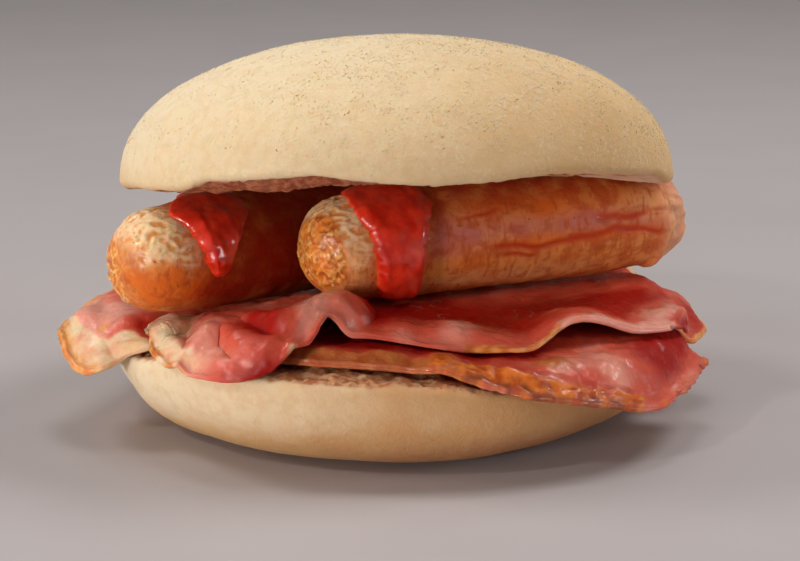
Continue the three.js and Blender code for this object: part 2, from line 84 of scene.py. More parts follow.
BACON_TOP = dict(
    front=[(-46, -27), (-44.5, -35), (-41, -42), (-36, -47.5), (-27, -52.8), (-20, -52.8),
           (-14, -48.5), (-8.4, -42), (-1.5, -42), (13, -45), (25, -46), (38, -37), (50, -28.5),
           (58.7, -22), (63.5, -13)],
    back=[(-46, -23), (-43, -18), (-20, -8), (20, 2), (45, 10), (53, 12), (57.5, 8), (61, 0),
          (63.5, -9)],
    front_height=[(-46, 23.4), (-38, 20.6), (-24, 21.6), (-16, 22.8), (-9.8, 31.0), (-1, 22.4),
                  (13, 24.1), (24.5, 22.6), (38.5, 28.4), (54, 22.2), (63.5, 19.0)],
    back_height=[(-46, 25.0), (45, 25.0), (54, 25.6), (63.5, 20.5)],
    reach=[(-46, 30), (-5, 34), (15, 20), (63, 26)],
    swell=[(-30, 0), (-18, 1.8), (-10, 1.8), (-6, 5.4), (-3.6, 7.0), (1, 0)],
    drift=[(-46, 0.3), (-20, 0.8), (-12, 0.2), (-8, 0), (0, 0), (20, 0.3), (40, 0.3), (63, 0)],
    rind=0,
)
BACON_BOTTOM = dict(
    front=[(-30, -36), (-26, -43), (-15, -47.5), (4, -52), (14, -54.5), (25, -55), (35, -53),
           (45, -48), (54, -41), (60, -31), (64.5, -21), (66.4, -15)],
    back=[(-30, -32), (-20, -20), (0, -8), (20, -3), (40, -6), (60, -9), (65, -11), (66.4, -13)],
    front_height=[(-30, 21.5), (4, 22.0), (12, 23.6), (19, 20.4), (30, 18.4), (43, 15.4),
                  (55, 12.2), (66.4, 14.0)],
    back_height=[(-30, 22), (42, 21.5), (60, 16), (66.4, 14.6)],
    reach=[(-30, 8), (20, 8), (30, 16), (50, 26), (66.4, 20)],
    rind=0.9,
)
BACON_BACK = dict(
    front=[(-64.9, -13.5), (-63.2, -21), (-59.5, -27.5), (-55, -31), (-51, -28.5), (-46, -30),
           (-20, -5), (20, 4), (50, -3), (61, -5.6), (65, -4), (69, 3)],
    back=[(-64.9, -10), (-62.4, -8), (-61.2, -3), (-59, 3), (-56, 9), (-40, 20), (-10, 37),
          (30, 37), (47, 26), (56, 17), (63, 14), (67, 10), (69, 6)],
    front_height=[(-64.9, 20.5), (-59, 15.6), (-54, 17.0), (-48, 19.4), (-42, 21), (50, 21.5),
                  (61, 17.0), (65, 15.0), (69, 15.6)],
    back_height=[(-64.9, 21.0), (-58, 22.4), (-40, 22), (50, 22), (63, 21.0), (69, 18.0)],
    reach=[(-64.9, 12), (-50, 18), (0, 20), (69, 20)],
    rind=0,
)
LEVEL = [(0, 0), (1, 0)]        # drift and swell of a rasher that has none
# how a rasher bends down over the rim of the bread
DROOP = dict(inside=3.4, arc=7, steepest=math.radians(60), ahead=1.2)
RIND = dict(width=3.5, fade=7)
STEEP = 1.3                     # the steepest slope that the clearance above a rasher allows for
SOFT = 1.2                      # how softly a rasher meets what it lies on
COVER = (1, 9)                  # how far behind the upper rasher its cover fades out
PAST_EDGE = dict(level=2.5, fall=0.8)
SWELL_REACH = 7                 # how far behind its edge a rasher has its full swell


# ---------------------------------------------------------------- small functions

def mix(a, b, t):
    return a + (b - a) * t


def ease(low, high, x):
    t = np.clip((x - low) / (high - low), 0, 1)
    return t * t * (3 - 2 * t)


def falls(low, high, x):
    return 1 - ease(low, high, x)


def lower(a, b, soft):
    """The lower of two heights, rounded where they meet over about `soft` mm."""
    h = np.clip(0.5 + 0.5 * (b - a) / soft, 0, 1)
    return mix(b, a, h) - soft * h * (1 - h)


def higher(a, b, soft):
    return -lower(-a, -b, soft)


def spot(x, y, at, spread):
    """1 at a place and fading to 0 over `spread` mm along each axis."""
    return np.exp(-((x - at[0]) / spread[0]) ** 2 - ((y - at[1]) / spread[1]) ** 2)


def curve(knots):
    """A smooth curve through (at, value) knots: level at each crest and dip, no overshoot."""
    at, value = np.array(knots, float).T
    rise = np.diff(value) / np.diff(at)
    slope = np.zeros(len(at))
    slope[0], slope[-1] = rise[0], rise[-1]
    inner = np.flatnonzero(rise[:-1] * rise[1:] > 0)
    slope[inner + 1] = 2 / (1 / rise[inner] + 1 / rise[inner + 1])

    def of(x):
        x = np.clip(x, at[0], at[-1])
        k = np.clip(np.searchsorted(at, x, side="right") - 1, 0, len(at) - 2)
        width = at[k + 1] - at[k]
        t = (x - at[k]) / width
        bend = t * (1 - t) * width * (slope[k] * (1 - t) - slope[k + 1] * t)
        return mix(value[k], value[k + 1], t * t * (3 - 2 * t)) + bend
    return of


def unit(v):
    return v / np.linalg.norm(v, axis=-1, keepdims=True)


def place(*coordinates):
    return np.stack(np.broadcast_arrays(*coordinates), -1)


GRADIENTS = unit(np.random.default_rng(7).normal(size=(4096, 3)))


def lattice_key(cell, seed):
    return (cell[..., 0] * 73856093 ^ cell[..., 1] * 19349663 ^ cell[..., 2] * 83492791
            ^ (seed * 2654435 + 97)) & 4095


def noise(points, size, seed=0):
    """Smooth noise from about -1 to 1, its bumps about `size` mm apart."""
    q = np.asarray(points) / size
    cell = np.floor(q).astype(np.int64)
    t = q - cell
    fade = t ** 3 * (t * (t * 6 - 15) + 10)
    total = 0
    for corner in np.ndindex(2, 2, 2):
        gradient = GRADIENTS[lattice_key(cell + corner, seed)]
        weight = np.where(corner, fade, 1 - fade).prod(-1)
        total = total + weight * (gradient * (t - corner)).sum(-1)
    return 1.7 * total


def layers(points, *noises):
    """A sum of noises, each (height, size, seed)."""
    return sum(height * noise(points, size, seed) for height, size, seed in noises)


def cells(points, size, seed=0):
    """Distance to the nearest of seeds scattered about `size` mm apart, as a share of that size."""
    q = np.asarray(points) / size
    cell = np.floor(q).astype(np.int64)
    nearest = np.full(q.shape[:-1], 9.0)
    for corner in np.ndindex(3, 3, 3):
        c = cell + corner - 1
        seed_at = c + 0.5 + 0.45 * GRADIENTS[lattice_key(c, seed)]
        nearest = np.minimum(nearest, np.linalg.norm(q - seed_at, axis=-1))
    return nearest


# ---------------------------------------------------------------- the shapes of the solids

def sausage_line(sausage):
    """The middle line of a sausage, and its skin at `d` mm from the near pole."""
    near, far = np.array(sausage["near"], float), np.array(sausage["far"], float)
    length = np.linalg.norm(far - near)
    along = (far - near) / length
    side = unit(np.array([along[1], -along[0], 0]))
    up = np.cross(along, side)
    up = up if up[2] > 0 else -up

    def at(d):
        t = np.asarray(d)[..., None] / length
        return near + along * t * length + side * sausage["bow"] * 4 * t * (1 - t)

    def cap(rest):
        inside = 1 - np.clip(rest / SAUSAGE["nose"], 0, 1)
        return (1 - inside ** SAUSAGE["blunt"]) ** (1 / SAUSAGE["blunt"])

    def radius(d):
        nose = mix(SAUSAGE["narrow_nose"], 1, ease(-SAUSAGE["nose"], SAUSAGE["full_after"], d))
        tail = mix(sausage["tail"], 1, ease(0, SAUSAGE["tail_length"], length - d))
        return SAUSAGE["radius"] * nose * tail * cap(d) * cap(length - d)

    def surface(d, angle, off=0.0):
        r = (radius(d) + off)[..., None]
        angle = np.asarray(angle)[..., None]
        return at(d) + up * r * np.cos(angle) + side * r * np.sin(angle)

    return SimpleNamespace(near=near, length=length, along=along, at=at, surface=surface)


def sausage_side(line, x, y, sign):
    """Height of the upper (+1) or lower (-1) side of a sausage, going on steeply past its skin."""
    r = SAUSAGE["radius"] + 0.1
    nose_middle = 0.8 * r
    plan = np.hypot(line.along[0], line.along[1])
    forward = (x - line.near[0]) * line.along[0] + (y - line.near[1]) * line.along[1]
    middle = line.at(np.clip(forward / plan ** 2, nose_middle, line.length - nose_middle))
    away = np.hypot(x - middle[..., 0], y - middle[..., 1])
    reach = np.where(away < r, np.sqrt(np.maximum(r * r - away * away, 0)), -1.6 * (away - r))
    return middle[..., 2] + sign * reach


FRONT_LINE, BACK_LINE = sausage_line(FRONT_SAUSAGE), sausage_line(BACK_SAUSAGE)


def front_under(x, y):
    return sausage_side(FRONT_LINE, x, y, -1)


def back_under(x, y):
    return sausage_side(BACK_LINE, x, y, -1)


def sausage_top(x, y):
    return np.maximum(sausage_side(FRONT_LINE, x, y, 1), sausage_side(BACK_LINE, x, y, 1))


def ketchup_lift(x, y):
    """How far the ketchup lifts the crown off the sausages, near the top of each run."""
    lift = 0
    for line, run in ((FRONT_LINE, FRONT_RUN), (BACK_LINE, BACK_RUN)):
        top = line.surface(curve(run["centre"])(0), 0.0)
        away = np.hypot(x - top[0], y - top[1]) / KETCHUP["lift_reach"]
        lift = np.maximum(lift, np.exp(-away ** 4))
    return KETCHUP["lifts_crown"] * lift


rim_height = curve(HEEL["rim_height"])
top_rasher_back = curve(BACON_TOP["back"])


def heel_radius(angle):
    shift = HEEL["rim_shift"] * np.cos(angle - math.radians(HEEL["shift_towards"]))
    return HEEL["rim_radius"] + shift


def under_top_rasher(x, y):
    covered = falls(*COVER, y - top_rasher_back(x))
    return np.minimum(front_under(x, y) - LAYER, back_under(x, y) - LAYER * covered)


def crumb_height(x, y):
    """Height of the lower half's cut face, pressed down where the filling is squeezed on it."""
    angle = np.arctan2(y, x)
    out = np.hypot(x, y) / heel_radius(angle)
    rise = ease(HEEL["pressed_to"], 1, out)
    face = mix(HEEL["pressed"], rim_height(np.degrees(angle)), rise)
    return lower(face, under_top_rasher(x, y) - LAYER - GAP - 4 * FACET, HEEL["blend"])


def turned(x_angle, y_angle):
    cx, sx, cy, sy = math.cos(x_angle), math.sin(x_angle), math.cos(y_angle), math.sin(y_angle)
    about_x = np.array([[1, 0, 0], [0, cx, -sx], [0, sx, cx]])
    about_y = np.array([[cy, 0, sy], [0, 1, 0], [-sy, 0, cy]])
    return about_x @ about_y


CROWN_TURN = turned(-math.radians(CROWN["lean_back"]), -math.radians(CROWN["lean_left"]))
crown_edge = curve(CROWN["edge"])


def on_crown(r, angle, h):
    r, angle, h = np.broadcast_arrays(r, angle, h)
    flat = np.stack([r * np.cos(angle), r * np.sin(angle), h], -1)
    return flat @ CROWN_TURN.T + np.array(CROWN["centre"])


def crown_height_of(p):
    """Height of points above the crown's own cut plane."""
    return (p - np.array(CROWN["centre"])) @ CROWN_TURN[:, 2]


def crown_underside(r, angle):
    out = r / CROWN["radius"]
    flat = mix(CROWN["hollow"], crown_edge(np.degrees(angle)), ease(CROWN["hollow_to"], 1, out))
    p = on_crown(r, angle, flat)
    sag = CROWN["sag_depth"] * falls(*CROWN["sag_edge"], out)
    z = p[..., 2] - sag * spot(p[..., 0], p[..., 1], CROWN["sag_at"], CROWN["sag_spread"])
    room = GAP + 2 * FACET + ketchup_lift(p[..., 0], p[..., 1])
    p[..., 2] = higher(z, sausage_top(p[..., 0], p[..., 1]) + room, CROWN["blend"])
    return p


def over_bread(x, y):
    """Height that a rasher's middle needs to clear the bread, bending down over the rim."""
    angle = np.arctan2(y, x)
    bend_from = heel_radius(angle) - DROOP["inside"]
    past = np.hypot(x, y) - bend_from
    lift = MEAT / 2 + GAP + 3 * FACET

    def crumb_at(r):
        return crumb_height(r * np.cos(angle), r * np.sin(angle))
    arc, steepest = DROOP["arc"], DROOP["steepest"]
    on_arc = np.clip(past, 0, arc * math.sin(steepest))
    drop = arc - np.sqrt(arc ** 2 - on_arc ** 2) + (past - on_arc) * math.tan(steepest)
    rim = np.maximum(crumb_at(bend_from), crumb_at(bend_from + DROOP["ahead"]))
    return lift + np.where(past <= 0, crumb_height(x, y), rim - drop)


def rasher(shape, under, roof):
    """A rasher as a height over the plan, above what carries it and below what lies on it."""
    front, back = curve(shape["front"]), curve(shape["back"])
    front_height, back_height = curve(shape["front_height"]), curve(shape["back_height"])
    reach, drift, swell = (curve(shape.get(key, LEVEL)) for key in ("reach", "drift", "swell"))
    left, right = shape["front"][0][0], shape["front"][-1][0]

    def height(x, y):
        behind = y - front(x)
        wave = front_height(x + drift(x) * behind) + swell(x) * ease(0, SWELL_REACH, behind)
        free = mix(wave, back_height(x), ease(0, reach(x), behind))
        return lower(higher(free, under(x, y), SOFT), roof(x, y), SOFT)

    def top(x, y):
        off = np.maximum.reduce([0 * x, front(x) - y, y - back(x), left - x, x - right])
        near_x = np.clip(x, left, right)
        d = 0.4
        rise_x = (height(near_x + d, y) - height(near_x - d, y)) / (2 * d)
        rise_y = (height(near_x, y + d) - height(near_x, y - d)) / (2 * d)
        slope = np.minimum(np.hypot(rise_x, rise_y), STEEP)
        apart = (LAYER + FACET / 2 + shape["rind"] / 2) * np.hypot(1, slope)
        fall = PAST_EDGE["fall"] * np.maximum(0, off - PAST_EDGE["level"])
        return height(near_x, y) + apart - fall

    return SimpleNamespace(height=height, top=top, front=front, back=back, left=left,
                           right=right, rind=shape["rind"])


ROOF = GAP + MEAT / 2 + FACET


def sausage_roof(x, y):
    return np.minimum(front_under(x, y), back_under(x, y)) - ROOF


def low_roof(x, y):
    return under_top_rasher(x, y) - ROOF


bacon_bottom = rasher(BACON_BOTTOM, over_bread, low_roof)
bacon_back = rasher(BACON_BACK, over_bread, low_roof)


def over_low_rashers(x, y):
    return np.maximum.reduce([over_bread(x, y), bacon_bottom.top(x, y), bacon_back.top(x, y)])


bacon_top = rasher(BACON_TOP, over_low_rashers, sausage_roof)


# ---------------------------------------------------------------- finer meshes of the same form

def volume_of(points, faces):
    a, b, c = points[faces[:, 0]], points[faces[:, 1]], points[faces[:, 2]]
    return (a * np.cross(b, c)).sum() / 6


def skin_faces(count, size, poles):
    """Quads between `count` closed loops of `size` points, and what closes the two ends."""
    k, j = np.meshgrid(np.arange(count - 1), np.arange(size), indexing="ij")
    a, b = k * size + j, k * size + (j + 1) % size
    quads = [np.stack([a, b, b + size, a + size], -1).reshape(-1, 4)]
    tris = [np.zeros((0, 3), int)]
    ring = np.arange(size)
    for end, base in enumerate((0, (count - 1) * size)):
        if poles:
            fan = np.stack([base + ring, base + (ring + 1) % size,
                            np.full(size, count * size + end)], -1)
            tris.append(fan if end else fan[:, ::-1])
        else:
            i = np.arange(size // 2 - 1)
            strip = base + np.stack([i, i + 1, size - 2 - i, size - 1 - i], -1)
            quads.append(strip if end else strip[:, ::-1])
    return np.concatenate(quads), np.concatenate(tris)


def outward(loops):
    """Normals of closed loops of points, facing out."""
    across = np.roll(loops, -1, 1) - np.roll(loops, 1, 1)
    normals = unit(np.cross(np.gradient(loops, axis=0), across) + 1e-12)
    flux = ((loops - loops.mean((0, 1))) * normals).sum(-1)
    return normals * np.sign(flux.mean())


def add_mesh(name, points, quads, tris, values):
    """A mesh object in metres from points in mm, with named numbers on its points."""
    mesh = bpy.data.meshes.new(name)
    corners = np.concatenate([quads.ravel(), tris.ravel()]).astype(np.int32)
    starts = np.concatenate([np.arange(len(quads)) * 4, len(quads) * 4 + np.arange(len(tris)) * 3])
    mesh.vertices.add(len(points))
    mesh.vertices.foreach_set("co", (points * MM).astype(np.float32).ravel())
    mesh.loops.add(len(corners))
    mesh.loops.foreach_set("vertex_index", corners)
    mesh.polygons.add(len(starts))
    mesh.polygons.foreach_set("loop_start", starts.astype(np.int32))
    mesh.polygons.foreach_set("use_smooth", np.ones(len(starts), bool))
    mesh.update(calc_edges=True)
    for key, value in values.items():
        layer = mesh.attributes.new(key, "FLOAT", "POINT")
        layer.data.foreach_set("value", np.ascontiguousarray(value, np.float32))
    piece = bpy.data.objects.new(name, mesh)
    bpy.context.scene.collection.objects.link(piece)
    return piece


def add_skin(name, loops, values, poles=None):
    """A closed mesh over loops of points; `poles` are the points that close the two ends."""
    count, size = loops.shape[:2]
    points = loops.reshape(-1, 3)
    flat = {key: np.broadcast_to(value, (count, size)).ravel() for key, value in values.items()}
    if poles is not None:
        points = np.concatenate([points, poles])
        flat = {key: np.append(v, [v[:size].mean(), v[-size:].mean()]) for key, v in flat.items()}
    quads, tris = skin_faces(count, size, poles is not None)
    split = np.concatenate([quads[:, [0, 1, 2]], quads[:, [0, 2, 3]], tris])
    if volume_of(points, split) < 0:
        quads, tris = quads[:, ::-1], tris[:, ::-1]
    return add_mesh(name, points, quads, tris, flat)


def stands_for(piece, node, material):
    piece.data.materials.append(material)
    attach(piece, "root")
    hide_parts(node)


def spots(x, y, places):
    """Sum of spots, each (x, y, spread along x, spread along y, strength)."""
    return sum((s * spot(x, y, (px, py), (wx, wy)) for px, py, wx, wy, s in places), 0 * x)


# ---------------------------------------------------------------- bread

AROUND = 480
FULL_TURN = np.linspace(-math.pi, math.pi, AROUND, endpoint=False)
FOOT_ROWS = 0.35, 0.7, 0.9      # loops across the flat foot, as shares of its radius
# where the crumb of the crown is pressed down on to the left sausage
PRESSED_CRUMB = dict(at=(-29, -20), spread=(11, 26), depth=0.9)


def crumb_relief(p):
    """Torn, open crumb: fine lumps with pores between them."""
    pores = -0.5 * ease(0.4, 0.8, cells(p, 1.5, 5)) - 0.35 * ease(0.35, 0.7, cells(p, 3.4, 6))
    return 0.15 + pores + layers(p, (0.16, 3.1, 7), (0.1, 0.9, 8))


def crust_relief(p):
    """Broad unevenness of the baked dough and the fine grain of its skin."""
    return layers(p, (0.4, 28, 11), (0.16, 11, 12), (0.05, 3.6, 13), (0.035, 1.5, 14))


def crown_loops(down=88, round_steps=6, face=30):
    """Loops from the top down, round the cut edge and in under the crown.

    The second result is 0 on the crust, up to 1 round the edge, and more on the cut face.
    """
    c, radius, height = CROWN["rim_round"], CROWN["radius"], CROWN["height"]
    power = 2 / CROWN["shoulder"]
    base = c + min(h for _, h in CROWN["edge"])
    ragged = 0.3 * noise(on_crown(radius, FULL_TURN, 0), 7, 21)

    def edge_at(r):
        return crown_height_of(crown_underside(r - c, FULL_TURN)) + ragged

    def cut_at(edge):
        share = np.clip((edge + c - base) / (height - base), 0, 1)
        return np.arccos(share ** (1 / power))
    rim = radius * np.sin(cut_at(edge_at(radius))) ** power
    edge = edge_at(rim)
    rows, turned_in = [], []
    for i in range(1, down + 1):
        turn = i / down * cut_at(edge)
        h = mix(base, height, np.maximum(np.cos(turn), 0) ** power)
        rows.append(on_crown(radius * np.sin(turn) ** power, FULL_TURN, h))
        turned_in.append(0)
    inner = rim - c
    for i in range(1, round_steps):
        turn = i / round_steps * math.pi / 2
        rows.append(on_crown(inner + c * np.cos(turn), FULL_TURN, edge + c - c * math.sin(turn)))
        turned_in.append(i / round_steps)
    for i in range(face):
        out = 1 - (i / face) ** 1.4
        under = crown_underside(inner * out, FULL_TURN)
        under[..., 2] += ragged * ease(0.9, 1, out)
        rows.append(under)
        turned_in.append(1 + i)
    return np.stack(rows), np.array(turned_in, float)[:, None]


def heel_loops(side=56, round_steps=7, face=50):
    """Loops from the foot up the side, round the cut edge and in over the cut face."""
    c = HEEL["rim_round"]
    rim = heel_radius(FULL_TURN) + 0.2 * noise(on_crown(60, FULL_TURN, 0), 8, 22)
    towards = np.cos(FULL_TURN - math.radians(HEEL["shift_towards"]))
    foot = HEEL["foot_radius"] + HEEL["foot_shift"] * towards
    cos, sin = np.cos(FULL_TURN), np.sin(FULL_TURN)

    def row(r, z):
        return place(r * cos, r * sin, z)
    top = crumb_height((rim - c) * cos, (rim - c) * sin) - c
    rows = [row(foot * out, 0.0) for out in FOOT_ROWS]
    turned_in = [0] * len(rows)
    for i in range(side):
        turn = i / side * math.pi / 2
        power = 2 / HEEL["bulge"]
        rows.append(row(mix(foot, rim, math.sin(turn) ** power),
                        mix(top, 0, math.cos(turn) ** power)))
        turned_in.append(0)
    for i in range(round_steps):
        turn = i / round_steps * math.pi / 2
        rows.append(row(rim - c + c * math.cos(turn), top + c * math.sin(turn)))
        turned_in.append(i / round_steps)
    for i in range(face):
        r = (rim - c) * (1 - (i / face) ** 1.2)
        rows.append(row(r, crumb_height(r * cos, r * sin)))
        turned_in.append(1 + i)
    return np.stack(rows), np.array(turned_in, float)[:, None]


def make_crown(material):
    loops, turned_in = crown_loops()
    torn = ease(0.75, 1.3, turned_in + 0.25 * noise(loops, 1.6, 23))
    relief = mix(crust_relief(loops), crumb_relief(loops), torn)
    pressed = spot(loops[..., 0], loops[..., 1], PRESSED_CRUMB["at"], PRESSED_CRUMB["spread"])
    relief = relief + PRESSED_CRUMB["depth"] * torn * pressed
    rough = loops + outward(loops) * relief[..., None]
    poles = np.stack([on_crown(0, 0, CROWN["height"]), crown_underside(np.array(0.0), 0.0)])
    piece = add_skin("bread_crown", rough, dict(crumb=torn), poles)
    stands_for(piece, "crown", material)
    crust = int((turned_in > 0).argmax())
    return rough[:crust], outward(loops)[:crust]


def make_heel(material):
    loops, turned_in = heel_loops()
    torn = ease(0.35, 0.7, turned_in + 0.2 * noise(loops, 2.2, 24))
    relief = mix(crust_relief(loops + 80), crumb_relief(loops) - 0.2, torn)
    relief = relief * ease(0.0, 1.5, loops[..., 2])
    rough = loops + outward(loops) * relief[..., None]
    rough[..., 2] = np.maximum(rough[..., 2], 0)
    poles = np.array([[0, 0, 0], [0, 0, crumb_height(0.0, 0.0)]])
    piece = add_skin("bread_heel", rough, dict(crumb=torn), poles)
    stands_for(piece, "heel", material)


# ---------------------------------------------------------------- sausages

GIRTH = 11                      # radius round which skin texture is laid

# Where things lie on a sausage: d in mm from the near pole, angle in degrees from the top,
# 90 towards the front. Patches of colour are (d, angle, spread in mm, spread in degrees,
# strength), and `knot` is how far from the far end the skin is tied off. The darker patches
# are painted shade on the parts that lie under the crown or are turned from the light.
FRONT_LOOKS = dict(
    tip_at=(0.5, 85), tip_radius=7.6, wrinkles=(2.5, 10), knot=8.6,
    splits=[dict(d=(36, 78), angle=[(36, 92), (48, 97), (57, 93), (67, 88), (78, 96)], width=1.0),
            dict(d=(61, 79), angle=[(60, 72), (70, 75), (79, 71)], width=0.7),
            dict(d=(38, 50), angle=[(36, 104), (50, 108)], width=0.6),
            dict(d=(30, 40), angle=[(30, 60), (40, 54)], width=0.6)],
    pink=[(29, 76, 8, 20, 1.0), (43, 74, 5, 12, 0.6), (58, 76, 9, 13, 1.1), (74, 84, 5, 12, 0.6)],
    orange=[(51, 54, 8, 13, 1.0), (36, 50, 6, 14, 0.6), (50, 92, 12, 7, 0.8), (68, 92, 9, 7, 0.9),
            (33, 106, 6, 9, 0.5)],
    pale=[(76, 60, 4, 26, 0.9), (82, 84, 4, 60, 0.8), (42, 132, 26, 12, 0.7), (7, 100, 5, 40, 0.6)],
    # painted shade: along the top under the crown, and a narrow band behind the nose
    painted_shade=[(40, 20, 50, 34, 0.8), (24, 70, 3.5, 40, 0.35)],
)
BACK_LOOKS = dict(
    tip_at=(3.2, -112), tip_radius=8.6, wrinkles=(1.5, 10), knot=8.0, splits=[],
    pink=[(13, 70, 4, 20, 0.6)],
    orange=[(6, 80, 4, 24, 1.2), (10, 112, 6, 22, 1.3), (2, 130, 5, 30, 0.8)],
    pale=[(6, 20, 6, 34, 0.8), (9, 62, 4, 12, 0.6)],
    # painted shade over the far part and the underside of this sausage
    painted_shade=[(45, 70, 26, 100, 1.5), (20, 120, 7, 30, 0.8)],
)


def sausage_surface(line, looks, steps=230, sides=190):
    t = np.arange(steps) / (steps - 1)
    d = mix(0.15, line.length - 0.15, mix(t, 0.5 - 0.5 * np.cos(math.pi * t), 0.75))[:, None]
    angle = np.radians(np.linspace(-180, 180, sides, endpoint=False))[None, :]
    d, angle = np.broadcast_arrays(d, angle)
    loops = line.surface(d, angle)
    degrees = np.degrees(angle)
    rest = line.length - d
    # a place drawn out along the sausage, which closes to a point at both ends
    to_end = np.minimum(np.minimum(d, rest) / GIRTH, 1)
    girth = GIRTH * np.sqrt(np.clip(1 - (1 - to_end) ** 2, 0, 1))
    across, over = girth * np.sin(angle), girth * np.cos(angle)
    lengthwise = place(d / 4, across, over)

    tip_d, tip_angle = looks["tip_at"]
    tip_at = line.surface(np.array(tip_d), np.radians(tip_angle))
    from_tip = np.linalg.norm(loops - tip_at, axis=-1) + 1.3 * noise(loops, 4.0, 31)
    radius = looks["tip_radius"]
    tip = falls(radius - 0.6, radius + 0.8, from_tip)
    start, stop = looks["wrinkles"]
    wrinkled = ease(start - 2, start + 1, d) * falls(stop - 3, stop + 4, d) * (1 - tip)
    wrinkled = wrinkled * ease(0.2, 1.1, 0.6 * noise(loops, 5, 32) + 1.6 * np.cos(angle - 0.35))
    split = np.zeros_like(d)
    for one in looks["splits"]:
        low, high = one["d"]
        off = np.radians(degrees - curve(one["angle"])(d)) * GIRTH + 0.9 * noise(loops, 5, 33)
        within = ease(low - 2, low + 3, d) * falls(high - 3, high + 2, d)
        broken = ease(-0.6, 0.0, noise(lengthwise, 2.2, 34))
        split = np.maximum(split, within * broken * np.exp(-(off / one["width"]) ** 2))

    uneven = 1 + 0.6 * noise(loops, 4.5, 43)
    places = {key: np.clip(spots(d, degrees, looks[key]) * uneven, 0, 1)
              for key in ("pink", "orange", "pale", "painted_shade")}
    bent = rest + 0.9 * noise(place(4 * np.cos(angle), 4 * np.sin(angle), 0 * d), 2.5, 48)
    collar = np.exp(-((bent - looks["knot"] - 0.8) / 1.1) ** 2)
    pinch = falls(looks["knot"] - 3.0, looks["knot"], bent)
    warped = loops + 0.9 * place(*[noise(loops, 2.2, seed) for seed in (44, 45, 46)])
    granules = np.clip(0.55 - cells(warped, 1.25, 38), -0.2, 0.5) + 0.3 * noise(warped, 0.9, 47)
    relief = layers(loops, (0.16, 9, 35), (0.08, 3.0, 36))
    relief += (1 - tip) * 0.06 * noise(loops, 1.1, 37)
    relief += tip * (0.5 * granules + 0.28 * noise(loops, 2.6, 39))
    wavy = lengthwise + 0.5 * place(*[noise(loops, 3.0, seed) for seed in (49, 50, 52)])
    ridges = 1 - np.abs(noise(wavy, 1.5, 40)) * 2
    relief += wrinkled * (0.30 * ridges + 0.18 * noise(loops, 1.2, 41))
    relief -= 0.4 * split
    folds = noise(place(d / 5, 8 * np.sin(angle), 8 * np.cos(angle)), 1.9, 42)
    relief += (0.7 + 0.4 * folds) * collar - pinch * (0.8 - 0.8 * folds)
    values = dict(tip=tip, wrinkled=wrinkled, ridges=ridges, split=split, granules=granules,
                  knot=np.maximum(0.6 * collar, pinch), along=d, across=across, over=over,
                  **places)
    return loops + outward(loops) * relief[..., None], values


def make_sausage(name, node, line, looks, material):
    loops, values = sausage_surface(line, looks)
    piece = add_skin(name, loops, values, np.stack([loops[0].mean(0), loops[-1].mean(0)]))
    stands_for(piece, node, material)


# ---------------------------------------------------------------- ketchup

def make_ketchup(name, node, line, run, seed, material, steps=120, across=60):
    """The ketchup clings to the skin: its inner face lies a little inside the sausage."""
    centre, half, swell = curve(run["centre"]), curve(run["half"]), curve(run["swell"])
    first, last = run["half"][0][0], run["half"][-1][0]
    turn = mix(first, last, (np.arange(steps + 1) / steps) ** 0.9)[:, None]
    v = -np.cos(np.arange(across + 1) / across * math.pi)[None, :]
    turn, v = np.broadcast_arrays(turn, v)
    tip = np.minimum(1, np.sqrt((last - turn) / KETCHUP["tip"] + 0.02))
    edge = layers(place(turn / 6, 3 * np.sign(v), seed), (0.45, 1.5, 51), (0.25, 0.6, 54))
    d = centre(turn) + v * (half(turn) * mix(0.6, 1, tip) + edge)
    flow = place(turn / 5, d, seed)
    beads = 0.75 + 0.9 * noise(flow, 2.1, 55)
    left_rim, right_rim = np.exp(-((v + 0.78) / 0.17) ** 2), np.exp(-((v - 0.74) / 0.2) ** 2)
    rims = 0.55 * beads * (left_rim + 0.5 * right_rim) * ease(15, 55, turn)
    lumps = layers(flow, (0.36, 4.4, 52), (0.16, 2.0, 53))
    round_ = (1 - np.abs(v) ** 3) ** (1 / 2.2)
    thick = (KETCHUP["thick"] * swell(turn) * tip + (lumps + rims) * tip) * round_
    outer = line.surface(d, np.radians(turn), KETCHUP["skin"] * ease(0, 0.3, round_) + thick)
    inner = line.surface(d, np.radians(turn), np.full_like(d, -0.5))
    loops = np.concatenate([outer, inner[:, -2:0:-1]], 1)
    pale = spot(turn, v, (95, 0.45), (45, 0.3)) * ease(-0.2, 0.5, noise(flow, 3.0, 56))
    both = [np.concatenate([value, 1 + 0 * value[:, -2:0:-1]], 1) for value in (1 - round_, pale)]
    piece = add_skin(name, loops, dict(edge=both[0], pale=both[1]))
    stands_for(piece, node, material)


# ---------------------------------------------------------------- bacon

LIP = 0.55                      # how far in a rasher's thin edge is rounded
THIN = 0.95                     # its thickness there
TAPER = 4.5                     # how far in it has its full thickness


def along_edge(sheet, count):
    """Places along a rasher, at even steps of its wavy front edge, closer together at both ends."""
    fine = np.linspace(sheet.left, sheet.right, 4000)
    edge = np.stack([fine, sheet.front(fine), sheet.height(fine, sheet.front(fine))], -1)
    length = np.append(0, np.cumsum(np.linalg.norm(np.diff(edge, axis=0), axis=1)))
    t = np.arange(count) / (count - 1)
    where = mix(t, 0.5 - 0.5 * np.cos(math.pi * t), 0.15) * length[-1]
    return np.interp(where, length, fine), where


def from_outline(middle):
    """How far each point of a sheet lies from the sheet's own outline."""
    outline = np.concatenate([middle[:, 0], middle[:, -1], middle[0, ::4], middle[-1, ::4]])
    return np.stack([np.linalg.norm(column[:, None] - outline, axis=-1).min(1)
                     for column in middle])


